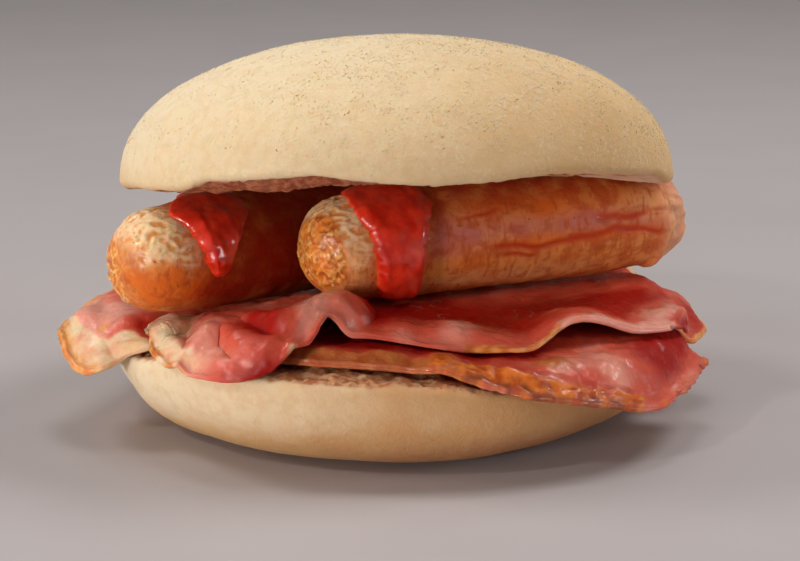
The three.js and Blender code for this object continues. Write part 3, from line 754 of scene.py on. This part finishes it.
def sheet_grid(sheet, looks, columns, rows):
    x, along = along_edge(sheet, columns)
    t = np.arange(rows) / (rows - 1)
    x, along = x[:, None], along[:, None]
    # rows crowd together at both edges, and more at the front one
    s = mix(t, 0.5 - 0.5 * np.cos(math.pi * t), 0.8)[None, :]
    v = mix(s, s ** 1.6, 0.5)
    ragged = layers(place(along, 0, looks["seed"]), (0.22, 1.3, 61), (0.3, 3.1, 62), (0.4, 8, 63))
    ragged = looks["ragged"](x) * ragged + looks["edge_out"](x)
    depth = np.maximum(sheet.back(x) - sheet.front(x), 0.1)
    y = sheet.front(x) + ragged * (1 - v) ** 5 + v * depth
    x, y, along, v = np.broadcast_arrays(x, y, along, v)
    frays = noise(place(0, y, looks["seed"]), 2.4, 64) + 0.5 * noise(place(0, y, 0), 1.1, 65)
    x = x + looks["frayed"](x) * frays
    behind = y - sheet.front(x)
    middle = place(x, y, sheet.height(x, y) + looks["curl"](x, behind))
    normals = unit(np.cross(np.gradient(middle, axis=0), np.gradient(middle, axis=1)) + 1e-12)
    normals = normals * np.sign(normals[..., 2:])
    return SimpleNamespace(x=x, y=y, along=along, behind=behind, middle=middle, normals=normals,
                           to_edge=from_outline(middle))


def make_rasher(name, node, sheet, looks, material, columns, rows):
    s = sheet_grid(sheet, looks, columns, rows)
    seed = looks["seed"]
    streaks = place(s.along / 4.5, s.behind, seed)
    paint = {key: np.clip(looks[key](s), -1, 1) for key in ("fat", "brown", "tone_shade_and_sheen", "line_below_rind")}
    rind = sheet.rind * falls(RIND["width"], RIND["fade"], s.behind)
    full = MEAT + rind
    thinned = (full - THIN) * falls(0.2, TAPER, s.to_edge) * looks["taper"](s.x)
    rounding = (1 - (1 - np.clip(s.to_edge / LIP, 0, 1)) ** 2.4) ** (1 / 2.4)
    # fried meat: fibres, wrinkles, and wet beads in between
    beads = 1.3 * np.clip(0.6 - cells(s.middle, 1.5, seed + 5), -0.2, 0.6)
    fibres = layers(streaks, (0.11, 2.8, seed), (0.05, 1.2, seed + 1))
    lumps = layers(s.middle, (0.34, 5.5, seed + 2), (0.20, 2.3, seed + 3))
    crisp = layers(s.middle, (0.26, 1.9, seed + 4), (0.22, 1.0, seed + 6))
    relief = lumps + mix(fibres + 0.2 * beads, 0.2 * beads, np.maximum(paint["fat"], 0))
    relief = relief + np.maximum(paint["brown"], 0) * crisp + looks["relief"](s)
    inward = ease(0, 1.2, s.to_edge)
    lift = full / 2 - thinned + relief * mix(0.35, 1, inward)
    drop = full / 2 + 0.4 * fibres
    centre, half = (lift - drop) / 2, np.maximum((lift + drop) / 2, 0.3) * rounding
    top = s.middle + s.normals * (centre + half)[..., None]
    low = s.middle + s.normals * (centre - half)[..., None]
    loops = np.concatenate([top, low[:, ::-1]], 1)
    cut = falls(0.1, 0.9, s.to_edge) * (1 - looks["taper"](s.x))
    values = {key: np.concatenate([value, value[:, ::-1]], 1) for key, value in
              dict(paint, along=s.along, behind=s.behind, cut=cut).items()}
    piece = add_skin(name, loops, values)
    stands_for(piece, node, material)


def worn(s, seed, size=4.0):
    """Uneven edge of a patch of fat or browning."""
    return noise(place(s.x, s.y, seed), size, seed)


def crease_off(s):
    """How far right of the crease in the upper rasher, where its right part lies on its left."""
    return s.x + 30.6 - 0.2 * s.behind + 0.9 * worn(s, 2, 4.0)


def edge_band(s, width, left, right, seed):
    """A band of uneven width along the front edge, between two places along the rasher."""
    band = falls(0.3 * width, 1.5 * width, s.behind + 0.6 * width * worn(s, seed, 2.8))
    return band * ease(left, left + 3, s.x) * falls(right - 3, right, s.x)


def top_fat(s):
    cap = falls(-41.0, -36.6, s.x + 1.2 * worn(s, 3, 3.0) - 0.12 * s.behind)
    milk = 0.8 * spot(s.x, s.behind, (-36.5, 3.5), (4.5, 2.2))
    seam = np.exp(-((s.behind - 29 - 0.75 * (s.x + 30)) / 1.3) ** 2) * ease(-34, -30, s.x)
    seam = seam * falls(-18, -14, s.x) * ease(-0.2, 0.3, worn(s, 5, 3.0))
    veins = np.exp(-(worn(s, 12, 6.0) / 0.06) ** 2) * ease(-0.1, 0.4, worn(s, 13, 9.0))
    bit = 0.5 * spot(s.x, s.behind, (-16.2, 0.3), (1.2, 1.6))
    return cap + milk + 0.7 * seam + 0.4 * veins * ease(-30, -26, s.x) + bit


def top_brown(s):
    corner = spots(s.x, s.behind, [(-43.0, 0, 3.4, 3.2, 0.9), (-38.6, 0, 2, 1.4, 0.7),
                                   (-45.5, 13, 1.4, 4, 0.5)])
    return corner * ease(-0.7, 0.1, worn(s, 8, 2.0)) + 0.9 * edge_band(s, 1.2, 15, 37, 6)


def top_tone(s):
    """-1 is deep red, 1 is pale pink. The broad deep red spots behind the edge, under the front
    sausage, are painted shade, and the pale pink on the hump in the middle is partly a
    painted sheen.
    """
    red = spots(s.x, s.behind, [
        (-21.5, 12, 6.0, 8, -1.2), (49, 14, 11, 9, -1.3), (-39.0, 5, 1.6, 2, -1.6),
        (61.5, 1, 3, 2.5, -1.2), (-1, 10, 4, 12, -1.0), (24, 16, 14, 9, -1.2), (8, 16, 12, 7, -1.3),
        (-22, 0, 7, 1.6, -0.8)])
    pink = spots(s.x, s.behind, [
        (-34, 8, 5, 8, 0.8), (-26, 3, 4, 3, 0.4), (15.5, 7, 5, 6, 1.2), (56, 8, 6, 7, 1.2),
        (-5, 2.5, 3.5, 4, 0.5), (-22, 34, 9, 9, 0.5), (-13, 7, 4, 8, 0.9), (3, 1, 8, 1.8, 0.7)])
    cut = 1.0 * edge_band(s, 2.2, 32, 62, 10)
    return red + pink + cut + 0.35 * worn(s, 9, 6.0)


def top_relief(s):
    cap = 0.5 * np.exp(-((s.x + 42) / 3.5) ** 2) - 0.4 * np.exp(-((s.x + 37.2) / 1.6) ** 2)
    humps = spots(s.x, s.behind, [(15.5, 6, 4.5, 4.5, 1.5), (3, 5, 4, 5, 0.5), (27, 6, 4, 5, -0.6),
                                  (-21, 12, 4, 6, -0.8), (-34.5, 5, 3, 4, -0.4)])
    off = crease_off(s)
    fades = falls(15, 22, s.behind)
    step = 0.35 * ease(-3, 2.5, off) * falls(3, 12, off)
    # drawn-out wrinkles up the flank of the fold
    flank = ease(-26, -21, s.x) * falls(-9, -5, s.x) * falls(16, 22, s.behind)
    wrinkles = 0.35 * noise(place(s.along / 5 - s.behind / 9, s.behind / 2.2, 0), 1, 16)
    return cap + humps + step * fades + flank * wrinkles


def top_curl(x, behind):
    """The edge lies down on the rasher below it between the two high folds."""
    return -0.9 * spot(x, behind, (12, 0), (11, 5))


def top_edge_out(x):
    return -0.8 * ease(-33, -29, x) * falls(-26, -16, x)


def top_taper(x):
    return 1 - 0.6 * spot(x, 0 * x, (47, 0), (12, 1)) - 0.3 * spot(x, 0 * x, (-4, 0), (5, 1))


def bottom_fat(s):
    strip = falls(2.6, 4.0, s.behind + 0.7 * worn(s, 9)) * falls(8, 13, s.x)
    bump = spot(s.x, s.behind, (33, 7.5), (4.5, 3.0))
    return strip + 0.8 * bump


def rind_middle(x):
    """How far behind the edge the rind runs: a thin flap of meat hangs below it in the middle."""
    return 1.4 + 0.7 * ease(16, 20, x) * falls(27, 31, x)


def bottom_brown(s):
    off = (s.behind - rind_middle(s.x) + 0.5 * worn(s, 11, 3.0)) / 2.3
    rind = np.exp(-off ** 4) * ease(8, 12, s.x) * falls(50.5, 52, s.x + 0.5 * worn(s, 12, 2.0))
    edge = falls(0.2, 1.4, s.to_edge + 0.9 * worn(s, 13, 2.5)) * ease(52, 56, s.x)
    edge = edge * ease(-0.4, 0.2, worn(s, 24, 4.0))
    crumbs = spots(s.x, s.behind, [(12.5, 2.5, 3.0, 3.0, 1.0)])
    return np.maximum(rind, crumbs) + 0.5 * edge


def bottom_line_below_rind(s):
    """A line darker than the rind, along a shallow groove just below it."""
    off = (s.behind - rind_middle(s.x) + 1.35 + 0.5 * worn(s, 21, 2.6)) / 0.45
    along = ease(11, 15, s.x) * falls(46, 50, s.x)
    return np.exp(-off ** 2) * along * ease(-0.6, 0.1, worn(s, 22, 3.5))


def bottom_tone(s):
    # the broad deep red spot behind the middle is painted shade under the upper rasher's fold
    red = spots(s.x, s.behind, [(56, 14, 7, 8, -1.3), (0, 12, 22, 8, -1.6), (26, 13, 9, 5, -0.6)])
    pink = spots(s.x, s.behind, [(36, 9, 6, 5, 0.7), (45, 8, 6, 7, 0.6), (24, 1, 8, 1.6, 0.6),
                                 (60, 2, 4, 6, 0.5)])
    return red + pink + 0.3 * worn(s, 15, 6.0)


def bottom_relief(s):
    brown = np.clip(bottom_brown(s), 0, 1)
    twist = noise(place(s.along / 2.2, s.behind, 0), 1.6, 14)
    bump = 1.0 * spot(s.x, s.behind, (34, 8.5), (5, 3.5))
    slit = np.exp(-((s.behind - rind_middle(s.x) - 2.3) / 0.7) ** 2) * ease(10, 15, s.x)
    along = ease(10, 15, s.x) * falls(48, 52, s.x)
    return brown * (0.7 + 0.4 * twist) + bump - (0.8 * slit + 0.5 * bottom_line_below_rind(s)) * along


def bottom_ragged(x):
    return 0.7 + 1.6 * ease(53, 58, x) + 0.7 * spot(x, 0 * x, (24, 0), (8, 1))


def bottom_frayed(x):
    return 1.5 * ease(55, 63, x)


def back_fat(s):
    """The fat runs along the front, and is widest at the left."""
    width = 3.2 + 0.55 * np.maximum(-47 - s.x, 0) + 1.6 * worn(s, 15, 3.5)
    return falls(-1.2, 1.8, s.behind - width) * (s.x < 0)


def back_brown(s):
    edge = falls(0.0, 5.0, s.to_edge + 1.2 * worn(s, 17, 2.5)) * falls(-57, -53, s.x)
    rind = spots(s.x, s.behind, [(-48, 2, 4, 2.4, 0.5), (-55, 11, 1.2, 1.0, 1.3)])
    right = falls(0.2, 1.2, s.to_edge) * ease(60, 64, s.x)
    return 0.8 * edge + rind + 0.7 * right


def back_tone(s):
    patches = [(-57, 17, 8, 10, 1.3), (-47, 8, 3.0, 4.5, -0.9), (66, 8, 6, 6, -0.5)]
    return spots(s.x, s.behind, patches) + 0.35 * worn(s, 20, 5.0)


def back_relief(s):
    lobe = 0.6 * np.exp(-((s.x + 60) / 2.6) ** 2) - 0.6 * spot(s.x, s.behind, (-57, 8), (2, 6))
    return lobe + 0.5 * spot(s.x, s.behind, (-49, 1.5), (4, 2.0))


def nothing(x, *_):
    return 0 * x


def everywhere(value):
    return lambda x, *_: value + 0 * x


def back_ragged(x):
    return 1.0 + 0.8 * (x < -54)


def back_frayed(x):
    return 0.6 * falls(-63, -58, x) + 0.5 * ease(62, 67, x)


def no_line_below_rind(s):
    return 0 * s.x


PLAIN = dict(line_below_rind=no_line_below_rind, curl=nothing, edge_out=nothing, taper=everywhere(0.8),
             ragged=everywhere(0.8), frayed=nothing)
TOP_LOOKS = dict(PLAIN, fat=top_fat, brown=top_brown, tone_shade_and_sheen=top_tone, relief=top_relief,
                 curl=top_curl, edge_out=top_edge_out, taper=top_taper, seed=71)
BOTTOM_LOOKS = dict(PLAIN, fat=bottom_fat, brown=bottom_brown, line_below_rind=bottom_line_below_rind,
                    tone_shade_and_sheen=bottom_tone, relief=bottom_relief, ragged=bottom_ragged,
                    frayed=bottom_frayed, seed=81)
BEHIND_LOOKS = dict(PLAIN, fat=back_fat, brown=back_brown, tone_shade_and_sheen=back_tone, relief=back_relief,
                    ragged=back_ragged, frayed=back_frayed, seed=91)


# ---------------------------------------------------------------- materials

class Look:
    """A material put together from nodes. Its sizes are in mm, its colours linear."""

    def __init__(self, name):
        self.material = bpy.data.materials.new(name)
        self.material.use_nodes = True
        self.tree = self.material.node_tree
        self.tree.nodes.clear()
        metres = self.node("ShaderNodeTexCoord").outputs["Object"]
        self.place = self.node("ShaderNodeVectorMath", [metres, (1 / MM,) * 3],
                               operation="MULTIPLY").outputs[0]

    def node(self, kind, inputs=(), **settings):
        node = self.tree.nodes.new(kind)
        for key, value in settings.items():
            setattr(node, key, value)
        for key, value in (inputs.items() if isinstance(inputs, dict) else enumerate(inputs)):
            self.feed(node.inputs[key], value)
        return node

    def feed(self, socket, value):
        if isinstance(value, bpy.types.NodeSocket):
            self.tree.links.new(value, socket)
        elif isinstance(value, tuple) and socket.type == "RGBA":
            socket.default_value = (*value, 1)
        else:
            socket.default_value = value

    def value(self, name):
        return self.node("ShaderNodeAttribute", attribute_name=name).outputs["Fac"]

    def part(self, axis):
        """One coordinate of the place, in mm."""
        return self.node("ShaderNodeSeparateXYZ", [self.place]).outputs[axis]

    def drawn(self, *names_and_scales):
        """A place made of named numbers, each with its scale, for texture drawn out one way."""
        parts = [self.times(self.value(name), scale) for name, scale in names_and_scales]
        return self.node("ShaderNodeCombineXYZ", parts).outputs[0]

    def noise(self, size, detail=3.0, place=None, rough=0.5):
        inputs = {"Vector": place or self.place, "Scale": 1 / size, "Detail": detail,
                  "Roughness": rough}
        return self.node("ShaderNodeTexNoise", inputs).outputs[0]

    def math(self, operation, *values):
        return self.node("ShaderNodeMath", values, operation=operation).outputs[0]

    def times(self, a, b):
        return self.math("MULTIPLY", a, b)

    def plus(self, a, b):
        return self.math("ADD", a, b)

    def steps(self, value, low, high, start=0.0, stop=1.0):
        """`start` below `low`, `stop` above `high`, smooth between."""
        inputs = {"Value": value, "From Min": low, "From Max": high, "To Min": start,
                  "To Max": stop}
        return self.node("ShaderNodeMapRange", inputs, interpolation_type="SMOOTHSTEP").outputs[0]

    def patches(self, size, detail, *levels, **settings):
        """Noise cut into patches by the levels that `steps` takes."""
        return self.steps(self.noise(size, detail, **settings), *levels)

    def blend(self, share, a, b):
        node = self.node("ShaderNodeMix", data_type="RGBA")
        for socket, value in ((node.inputs[0], share), (node.inputs[6], a), (node.inputs[7], b)):
            self.feed(socket, value)
        return node.outputs[2]

    def tint(self, colour, name, share, other):
        """Up to `share` of the other colour, by the number `name` that the mesh holds."""
        return self.blend(self.times(self.value(name), share), colour, other)

    def bump(self, height, depth, normal=None):
        inputs = {"Height": height, "Distance": depth * MM, "Strength": 1.0}
        if normal:
            inputs["Normal"] = normal
        return self.node("ShaderNodeBump", inputs).outputs[0]

    def bumps(self, *waves):
        """Bumps over each other, each (size, detail, depth), and how rough if not 0.5."""
        normal = None
        for size, detail, depth, *rough in waves:
            normal = self.bump(self.noise(size, detail, None, *rough), depth, normal)
        return normal

    def finish(self, inputs, soft=0.0, reach=(1.0, 0.3, 0.12)):
        """`soft` is how far light spreads under the surface, in mm, and `reach` by colour."""
        shader = self.node("ShaderNodeBsdfPrincipled", inputs)
        if soft:
            shader.inputs["Subsurface Weight"].default_value = 1.0
            shader.inputs["Subsurface Radius"].default_value = reach
            shader.inputs["Subsurface Scale"].default_value = soft * MM
        self.node("ShaderNodeOutputMaterial", [shader.outputs[0]])
        return self.material


def crust_look(name, cream, tan, brown, floury, crumb_colours, across, down):
    """Matt baked crust, browner to the right and downwards, with torn crumb where it is cut.
    The browning is partly the baked colour and partly painted shade on the side away from
    the lights and low down.

    `across` and `down` are the mm over which it turns from cream to tan, and on to brown.
    """
    look = Look(name)
    patchy = look.times(look.plus(look.noise(12, 4), -0.5), 40)
    side = look.plus(look.part(0), patchy)
    low = look.plus(look.times(look.part(2), -1.0), look.times(patchy, 0.15))
    # browning to the right and low down: partly baked colour, partly painted shade
    bake_and_shade = look.plus(look.steps(side, *across), look.steps(low, *down))
    colour = look.blend(look.steps(bake_and_shade, 0.0, 1.0), cream, tan)
    colour = look.blend(look.steps(bake_and_shade, 0.9, 2.0), colour, brown)
    mottle = look.patches(2.4, 5, 0.40, 0.70, 0.0, 0.30)
    colour = look.blend(mottle, colour, tan)
    dust = look.patches(0.9, 4, 0.48, 0.72, 0.0, floury, rough=0.75)
    dust = look.times(dust, look.patches(7, 3, 0.36, 0.62, 0.25, 1.0))
    colour = look.blend(dust, colour, (0.80, 0.70, 0.52))
    speck = look.patches(0.7, 2, 0.70, 0.78, 0.0, 0.30)
    colour = look.blend(speck, colour, (0.34, 0.16, 0.06))
    # the crumb colours given for each half are partly stain and partly painted shade
    crumb = look.blend(look.patches(1.8, 5, 0.38, 0.62), *crumb_colours)
    # the crumb is darker and redder near the open front: partly juice and ketchup stain, partly
    # painted shade under the filling and the crown
    unstained_unshaded = look.steps(look.plus(look.part(1), look.times(patchy, 0.4)), -38, -8, 0.0, 0.85)
    crumb = look.blend(unstained_unshaded, crumb, (0.80, 0.63, 0.41))
    colour = look.blend(look.value("crumb"), colour, crumb)
    grain = look.bumps((0.55, 4, 0.16, 0.75), (1.6, 4, 0.22))
    return look.finish({"Base Color": colour, "Roughness": 0.8, "Normal": grain,
                        "Specular IOR Level": 0.2}, 0.35, (1.0, 0.6, 0.35))


SKIN = dict(
    light=(0.78, 0.30, 0.075), fried=(0.60, 0.145, 0.028), pale=(0.86, 0.45, 0.19),
    # the darkest red in this row colours the painted shade on the skin
    pink=(0.62, 0.205, 0.16), orange=(0.80, 0.19, 0.018), painted_shade=(0.38, 0.018, 0.006),
    streak=(0.46, 0.085, 0.018), tick=(0.54, 0.105, 0.018), speck=(0.12, 0.025, 0.008),
    # `hollow` and `ridge` colour the wrinkles, partly with painted shade and painted highlight
    hollow=(0.74, 0.31, 0.085), ridge=(0.92, 0.68, 0.40), split=(0.56, 0.050, 0.006),
    # `tip_dark` fills the cracks of the fried tip, partly as painted shade
    knot=(0.74, 0.38, 0.26), tip_dark=(0.52, 0.115, 0.014), tip_light=(0.90, 0.48, 0.14),
    tip_orange=(0.84, 0.27, 0.030),
)
GREASE = {"Specular IOR Level": 0.1, "Coat Roughness": 0.04, "Coat IOR": 1.5}


def sausage_look():
    look = Look("fried_sausage")
    drawn = look.drawn(("along", 0.5), ("across", 1.0), ("over", 1.0))
    skin = look.blend(look.patches(4, 4, 0.40, 0.60), SKIN["light"], SKIN["fried"])
    for name, share in (("pale", 0.8), ("pink", 0.9), ("orange", 0.9)):
        skin = look.tint(skin, name, share, SKIN[name])
    streaks = look.patches(1.7, 4, 0.50, 0.66, 0, 0.5, place=drawn)
    skin = look.blend(streaks, skin, SKIN["streak"])
    round_ = look.drawn(("along", 1.6), ("across", 0.5), ("over", 0.5))
    ticks = look.patches(1.6, 4, 0.52, 0.68, 0, 0.7, place=round_)
    skin = look.blend(ticks, skin, SKIN["tick"])
    # painted shade: the skin turns deep red where the shade patches lie
    skin = look.tint(skin, "painted_shade", 0.85, SKIN["painted_shade"])
    # cream wrinkles, lighter on their ridges and darker in their hollows: partly the skin's own
    # colour, partly painted highlight and painted shade
    creamy = look.plus(look.times(look.value("ridges"), 0.35), look.noise(1.1, 4))
    cream = look.blend(look.steps(creamy, 0.36, 0.80), SKIN["hollow"], SKIN["ridge"])
    colour = look.tint(skin, "wrinkled", 0.9, cream)
    # the fried tip, lighter on its granules and darker in the cracks between them: partly the
    # crust's colour, partly painted shade in the cracks
    grainy = look.plus(look.value("granules"), look.times(look.noise(0.7, 3, rough=0.7), 0.9))
    meat = look.blend(look.steps(grainy, 0.25, 0.80), SKIN["tip_dark"], SKIN["tip_light"])
    meat = look.blend(look.patches(2.6, 3, 0.42, 0.64, 0, 0.7), meat, SKIN["tip_orange"])
    colour = look.blend(look.value("tip"), colour, meat)
    colour = look.blend(look.value("split"), colour, SKIN["split"])
    colour = look.tint(colour, "knot", 0.6, SKIN["knot"])
    speck = look.patches(0.9, 2, 0.70, 0.76, 0, 0.6)
    colour = look.blend(speck, colour, SKIN["speck"])
    fine = look.bumps((0.6, 3, 0.10, 0.65), (1.8, 3, 0.16))
    wet = look.bumps((0.6, 2, 0.12), (1.5, 3, 0.32))
    rough = look.patches(1.6, 3, 0.35, 0.65, 0.40, 0.62)
    coat = look.plus(look.times(look.value("tip"), 0.7), look.times(look.value("wrinkled"), 0.6))
    coat = look.math("MINIMUM", look.plus(coat, 0.18), 1.0)
    return look.finish({**GREASE, "Base Color": colour, "Roughness": rough, "Normal": fine,
                        "Coat Weight": coat, "Coat Normal": wet}, 0.5)


def ketchup_look():
    look = Look("ketchup")
    thin = look.steps(look.value("edge"), 0.5, 0.95, 0, 0.35)
    colour = look.blend(look.patches(3.5, 3, 0.35, 0.65), (0.78, 0.045, 0.016),
                        (0.60, 0.020, 0.006))
    colour = look.blend(thin, colour, (0.76, 0.09, 0.014))
    colour = look.tint(colour, "pale", 0.4, (0.70, 0.15, 0.10))
    fine = look.bumps((0.9, 3, 0.08), (2.4, 3, 0.2))
    return look.finish({"Base Color": colour, "Roughness": 0.35, "Normal": fine,
                        "Specular IOR Level": 0.1, "Coat Weight": 1.0, "Coat Roughness": 0.03,
                        "Coat IOR": 1.45}, 0.6, (1.0, 0.12, 0.05))


def bacon_look(name, lean_tones, fat_tones, crisp_tones):
    pale, mid, deep = lean_tones
    look = Look(name)
    drawn = look.drawn(("along", 0.22), ("behind", 0.9))
    vary = look.times(look.plus(look.noise(3.6, 4, place=drawn), -0.5), 1.2)
    # deep red to pale pink: the meat's own colour, with painted shade in the deep red under the
    # sausages and a painted sheen in some pale pink
    tone_shade_and_sheen = look.plus(look.value("tone_shade_and_sheen"), vary)
    lean = look.blend(look.steps(tone_shade_and_sheen, -0.9, 0.1), deep, mid)
    lean = look.blend(look.steps(tone_shade_and_sheen, 0.0, 1.0), lean, pale)
    fatty = look.blend(look.patches(3.4, 3, 0.40, 0.66), *fat_tones)
    colour = look.blend(look.steps(look.value("fat"), 0.1, 0.8), lean, fatty)
    along = look.drawn(("along", 0.45), ("behind", 0.9))
    crisp = look.blend(look.patches(1.5, 4, 0.38, 0.62, place=along), *crisp_tones)
    colour = look.blend(look.steps(look.value("brown"), 0.1, 0.9), colour, crisp)
    # a darker line along the shallow groove below the rind
    colour = look.tint(colour, "line_below_rind", 0.85, (0.16, 0.028, 0.008))
    colour = look.tint(colour, "cut", 0.35, pale)
    fine = look.bumps((0.6, 3, 0.09, 0.65), (1.7, 4, 0.2))
    beads = look.bumps((0.6, 2, 0.13), (1.5, 3, 0.36))
    rough = look.patches(1.6, 3, 0.35, 0.65, 0.45, 0.65)
    wet = look.patches(6.0, 2, 0.34, 0.54, 0.3, 1.0)
    wet = look.times(wet, look.steps(look.value("behind"), 10.0, 24.0, 1.0, 0.2))
    wet = look.times(wet, look.steps(look.value("tone_shade_and_sheen"), -0.9, 0.1, 0.35, 1.0))
    return look.finish({**GREASE, "Base Color": colour, "Roughness": rough, "Normal": fine,
                        "Coat Weight": wet, "Coat Normal": beads}, 0.7, (1.0, 0.2, 0.1))


def plain_look(name, colour, roughness):
    look = Look(name)
    shade = look.blend(look.patches(40, 3, 0.3, 0.7), colour,
                       tuple(0.97 * c for c in colour))
    return look.finish({"Base Color": shade, "Roughness": roughness})


def flour_look():
    look = Look("flour_grains")
    colour = look.blend(look.patches(0.9, 1, 0.42, 0.58), (0.74, 0.56, 0.28),
                        (0.80, 0.70, 0.54))
    colour = look.blend(look.patches(1.7, 1, 0.60, 0.66), colour, (0.55, 0.30, 0.11))
    return look.finish({"Base Color": colour, "Roughness": 0.6, "Specular IOR Level": 0.3})


# ---------------------------------------------------------------- loose flour

OCTA = np.array([(1, 0, 0), (0, 1, 0), (-1, 0, 0), (0, -1, 0), (0, 0, 1), (0, 0, -1)], float)
OCTA_FACES = np.array([(0, 1, 4), (1, 2, 4), (2, 3, 4), (3, 0, 4),
                       (1, 0, 5), (2, 1, 5), (3, 2, 5), (0, 3, 5)])
GRAINS = dict(count=18000, size=(0.06, 0.13), sunk=0.65)


def make_flour(surface, normals, material):
    """Grains of flour and semolina stuck to the crown, fewest at the left and near the rim."""
    rng = np.random.default_rng(41)
    flat, up = surface.reshape(-1, 3), normals.reshape(-1, 3)
    area = np.linalg.norm(np.cross(np.gradient(surface, axis=0), np.gradient(surface, axis=1)),
                          axis=-1).ravel()
    height = crown_height_of(flat)
    dense = mix(0.35, 1, ease(-35, 5, flat[:, 0])) * mix(0.12, 1, ease(3, 12, height))
    clumps = ease(-0.5, 0.6, noise(flat, 5, 42) + 0.5 * noise(flat, 1.6, 43))
    dense = dense * clumps * area
    count = GRAINS["count"]
    picked = rng.choice(len(flat), count, p=dense / dense.sum())
    at = flat[picked] + rng.normal(0, 0.25, (count, 3))
    at = at - up[picked] * ((at - flat[picked]) * up[picked]).sum(-1, keepdims=True)
    size = rng.uniform(*GRAINS["size"], (count, 1, 1)) * rng.uniform(0.6, 1.7, (count, 1, 3))
    centres = at + up[picked] * size.min(2) * (1 - GRAINS["sunk"])
    spin = np.linalg.qr(rng.normal(size=(count, 3, 3)))[0]
    points = (centres[:, None] + (OCTA[None] * size) @ spin).reshape(-1, 3)
    tris = (np.arange(count)[:, None, None] * len(OCTA) + OCTA_FACES[None]).reshape(-1, 3)
    piece = add_mesh("loose_flour", points, np.zeros((0, 4), int), tris, {})
    stands_for(piece, "crown", material)


# ---------------------------------------------------------------- everything in its place

crown_skin = make_crown(crust_look(
    "baked_crust_top", (0.76, 0.595, 0.375), (0.65, 0.41, 0.195), (0.56, 0.30, 0.125), 0.55,
    ((0.28, 0.070, 0.028), (0.52, 0.19, 0.095)), (-30, 70), (-62, -44)))
make_flour(*crown_skin, flour_look())
make_heel(crust_look(
    "baked_crust_base", (0.82, 0.64, 0.42), (0.66, 0.36, 0.155), (0.50, 0.20, 0.085), 0.12,
    ((0.48, 0.165, 0.065), (0.76, 0.42, 0.22)), (-40, 35), (-14, -2)))
skin_look = sausage_look()
make_sausage("sausage_right", "sausage_front", FRONT_LINE, FRONT_LOOKS, skin_look)
make_sausage("sausage_left", "sausage_back", BACK_LINE, BACK_LOOKS, skin_look)
red_look = ketchup_look()
make_ketchup("ketchup_right", "ketchup_front", FRONT_LINE, FRONT_RUN, 1, red_look)
make_ketchup("ketchup_left", "ketchup_back", BACK_LINE, BACK_RUN, 2, red_look)
# the deepest of these tones is also the colour of the painted shade on the rashers
MEAT_TONES = (0.82, 0.34, 0.25), (0.64, 0.095, 0.052), (0.36, 0.007, 0.003)
make_rasher("rasher_upper", "bacon_top", bacon_top, TOP_LOOKS,
            bacon_look("bacon_upper", MEAT_TONES, ((0.82, 0.60, 0.37), (0.78, 0.39, 0.23)),
                       ((0.76, 0.33, 0.09), (0.58, 0.15, 0.025))), 340, 110)
make_rasher("rasher_lower", "bacon_bottom", bacon_bottom, BOTTOM_LOOKS,
            bacon_look("bacon_lower", MEAT_TONES, ((0.56, 0.165, 0.045), (0.42, 0.090, 0.020)),
                       ((0.74, 0.205, 0.024), (0.46, 0.072, 0.008))), 320, 100)
make_rasher("rasher_behind", "bacon_back", bacon_back, BEHIND_LOOKS,
            bacon_look("bacon_behind", MEAT_TONES, ((0.79, 0.57, 0.34), (0.77, 0.41, 0.24)),
                       ((0.80, 0.38, 0.11), (0.74, 0.24, 0.05))), 260, 80)


# ---------------------------------------------------------------- floor, light and camera

MIDDLE = (0, 0, 0.035)          # what every light points at, in metres
WARM, WHITE = (1.0, 0.98, 0.95), (1.0, 0.98, 0.96)
LIGHTS = [                      # name, place, size, power and colour
    ("key", (-0.55, -0.65, 0.11), 0.16, 3.5, WARM),
    ("sparkle", (-0.42, -0.48, 0.50), 0.05, 0.8, WARM),
    ("sparkle_left", (-0.85, -0.12, 0.32), 0.05, 0.7, WARM),
    ("right", (0.85, -0.10, 0.25), 0.25, 1.3, WHITE),
    ("top_left", (-0.55, 0.10, 0.75), 0.25, 1.9, WHITE),
    ("top_right", (0.50, 0.12, 0.78), 0.35, 3.2, WHITE),
    ("top", (0.0, 0.10, 0.90), 0.35, 1.8, WHITE),
]
ROOM = dict(colour=(1.0, 0.96, 0.93, 1), strength=0.16)


def area_light(name, at, size, power, colour):
    light = bpy.data.lights.new(name, "AREA")
    light.shape, light.size, light.energy, light.color = "DISK", size, power, colour
    lamp = bpy.data.objects.new(name, light)
    lamp.location = at
    lamp.rotation_euler = (Vector(MIDDLE) - Vector(at)).to_track_quat("-Z", "Y").to_euler()
    bpy.context.scene.collection.objects.link(lamp)


def floor_mesh(half, below):
    mesh = bpy.data.meshes.new("floor")
    mesh.from_pydata([(-half, -half, -below), (half, -half, -below), (half, half, -below),
                      (-half, half, -below)], [], [(0, 1, 2, 3)])
    piece = bpy.data.objects.new("floor", mesh)
    bpy.context.scene.collection.objects.link(piece)
    return piece


floor = floor_mesh(half=2.5, below=0.0002)
floor.data.materials.append(plain_look("pale_floor", (0.46, 0.42, 0.42), 0.6))

for lamp in LIGHTS:
    area_light(*lamp)

world = bpy.data.worlds.new("soft_room")
world.use_nodes = True
background = world.node_tree.nodes["Background"].inputs
background["Color"].default_value = ROOM["colour"]
background["Strength"].default_value = ROOM["strength"]
bpy.context.scene.world = world

CAMERA = dict(at=(4.23, -485.15, 147.66), tilt=76.0, lens=107.8)
lens = bpy.data.cameras.new("camera")
lens.lens, lens.sensor_width, lens.clip_start = CAMERA["lens"], 36.0, 0.01
camera = bpy.data.objects.new("camera", lens)
camera.location = tuple(v * MM for v in CAMERA["at"])
camera.rotation_euler = (math.radians(CAMERA["tilt"]), 0, 0)
bpy.context.scene.collection.objects.link(camera)
bpy.context.scene.camera = camera
bpy.context.scene.view_settings.view_transform = "Standard"
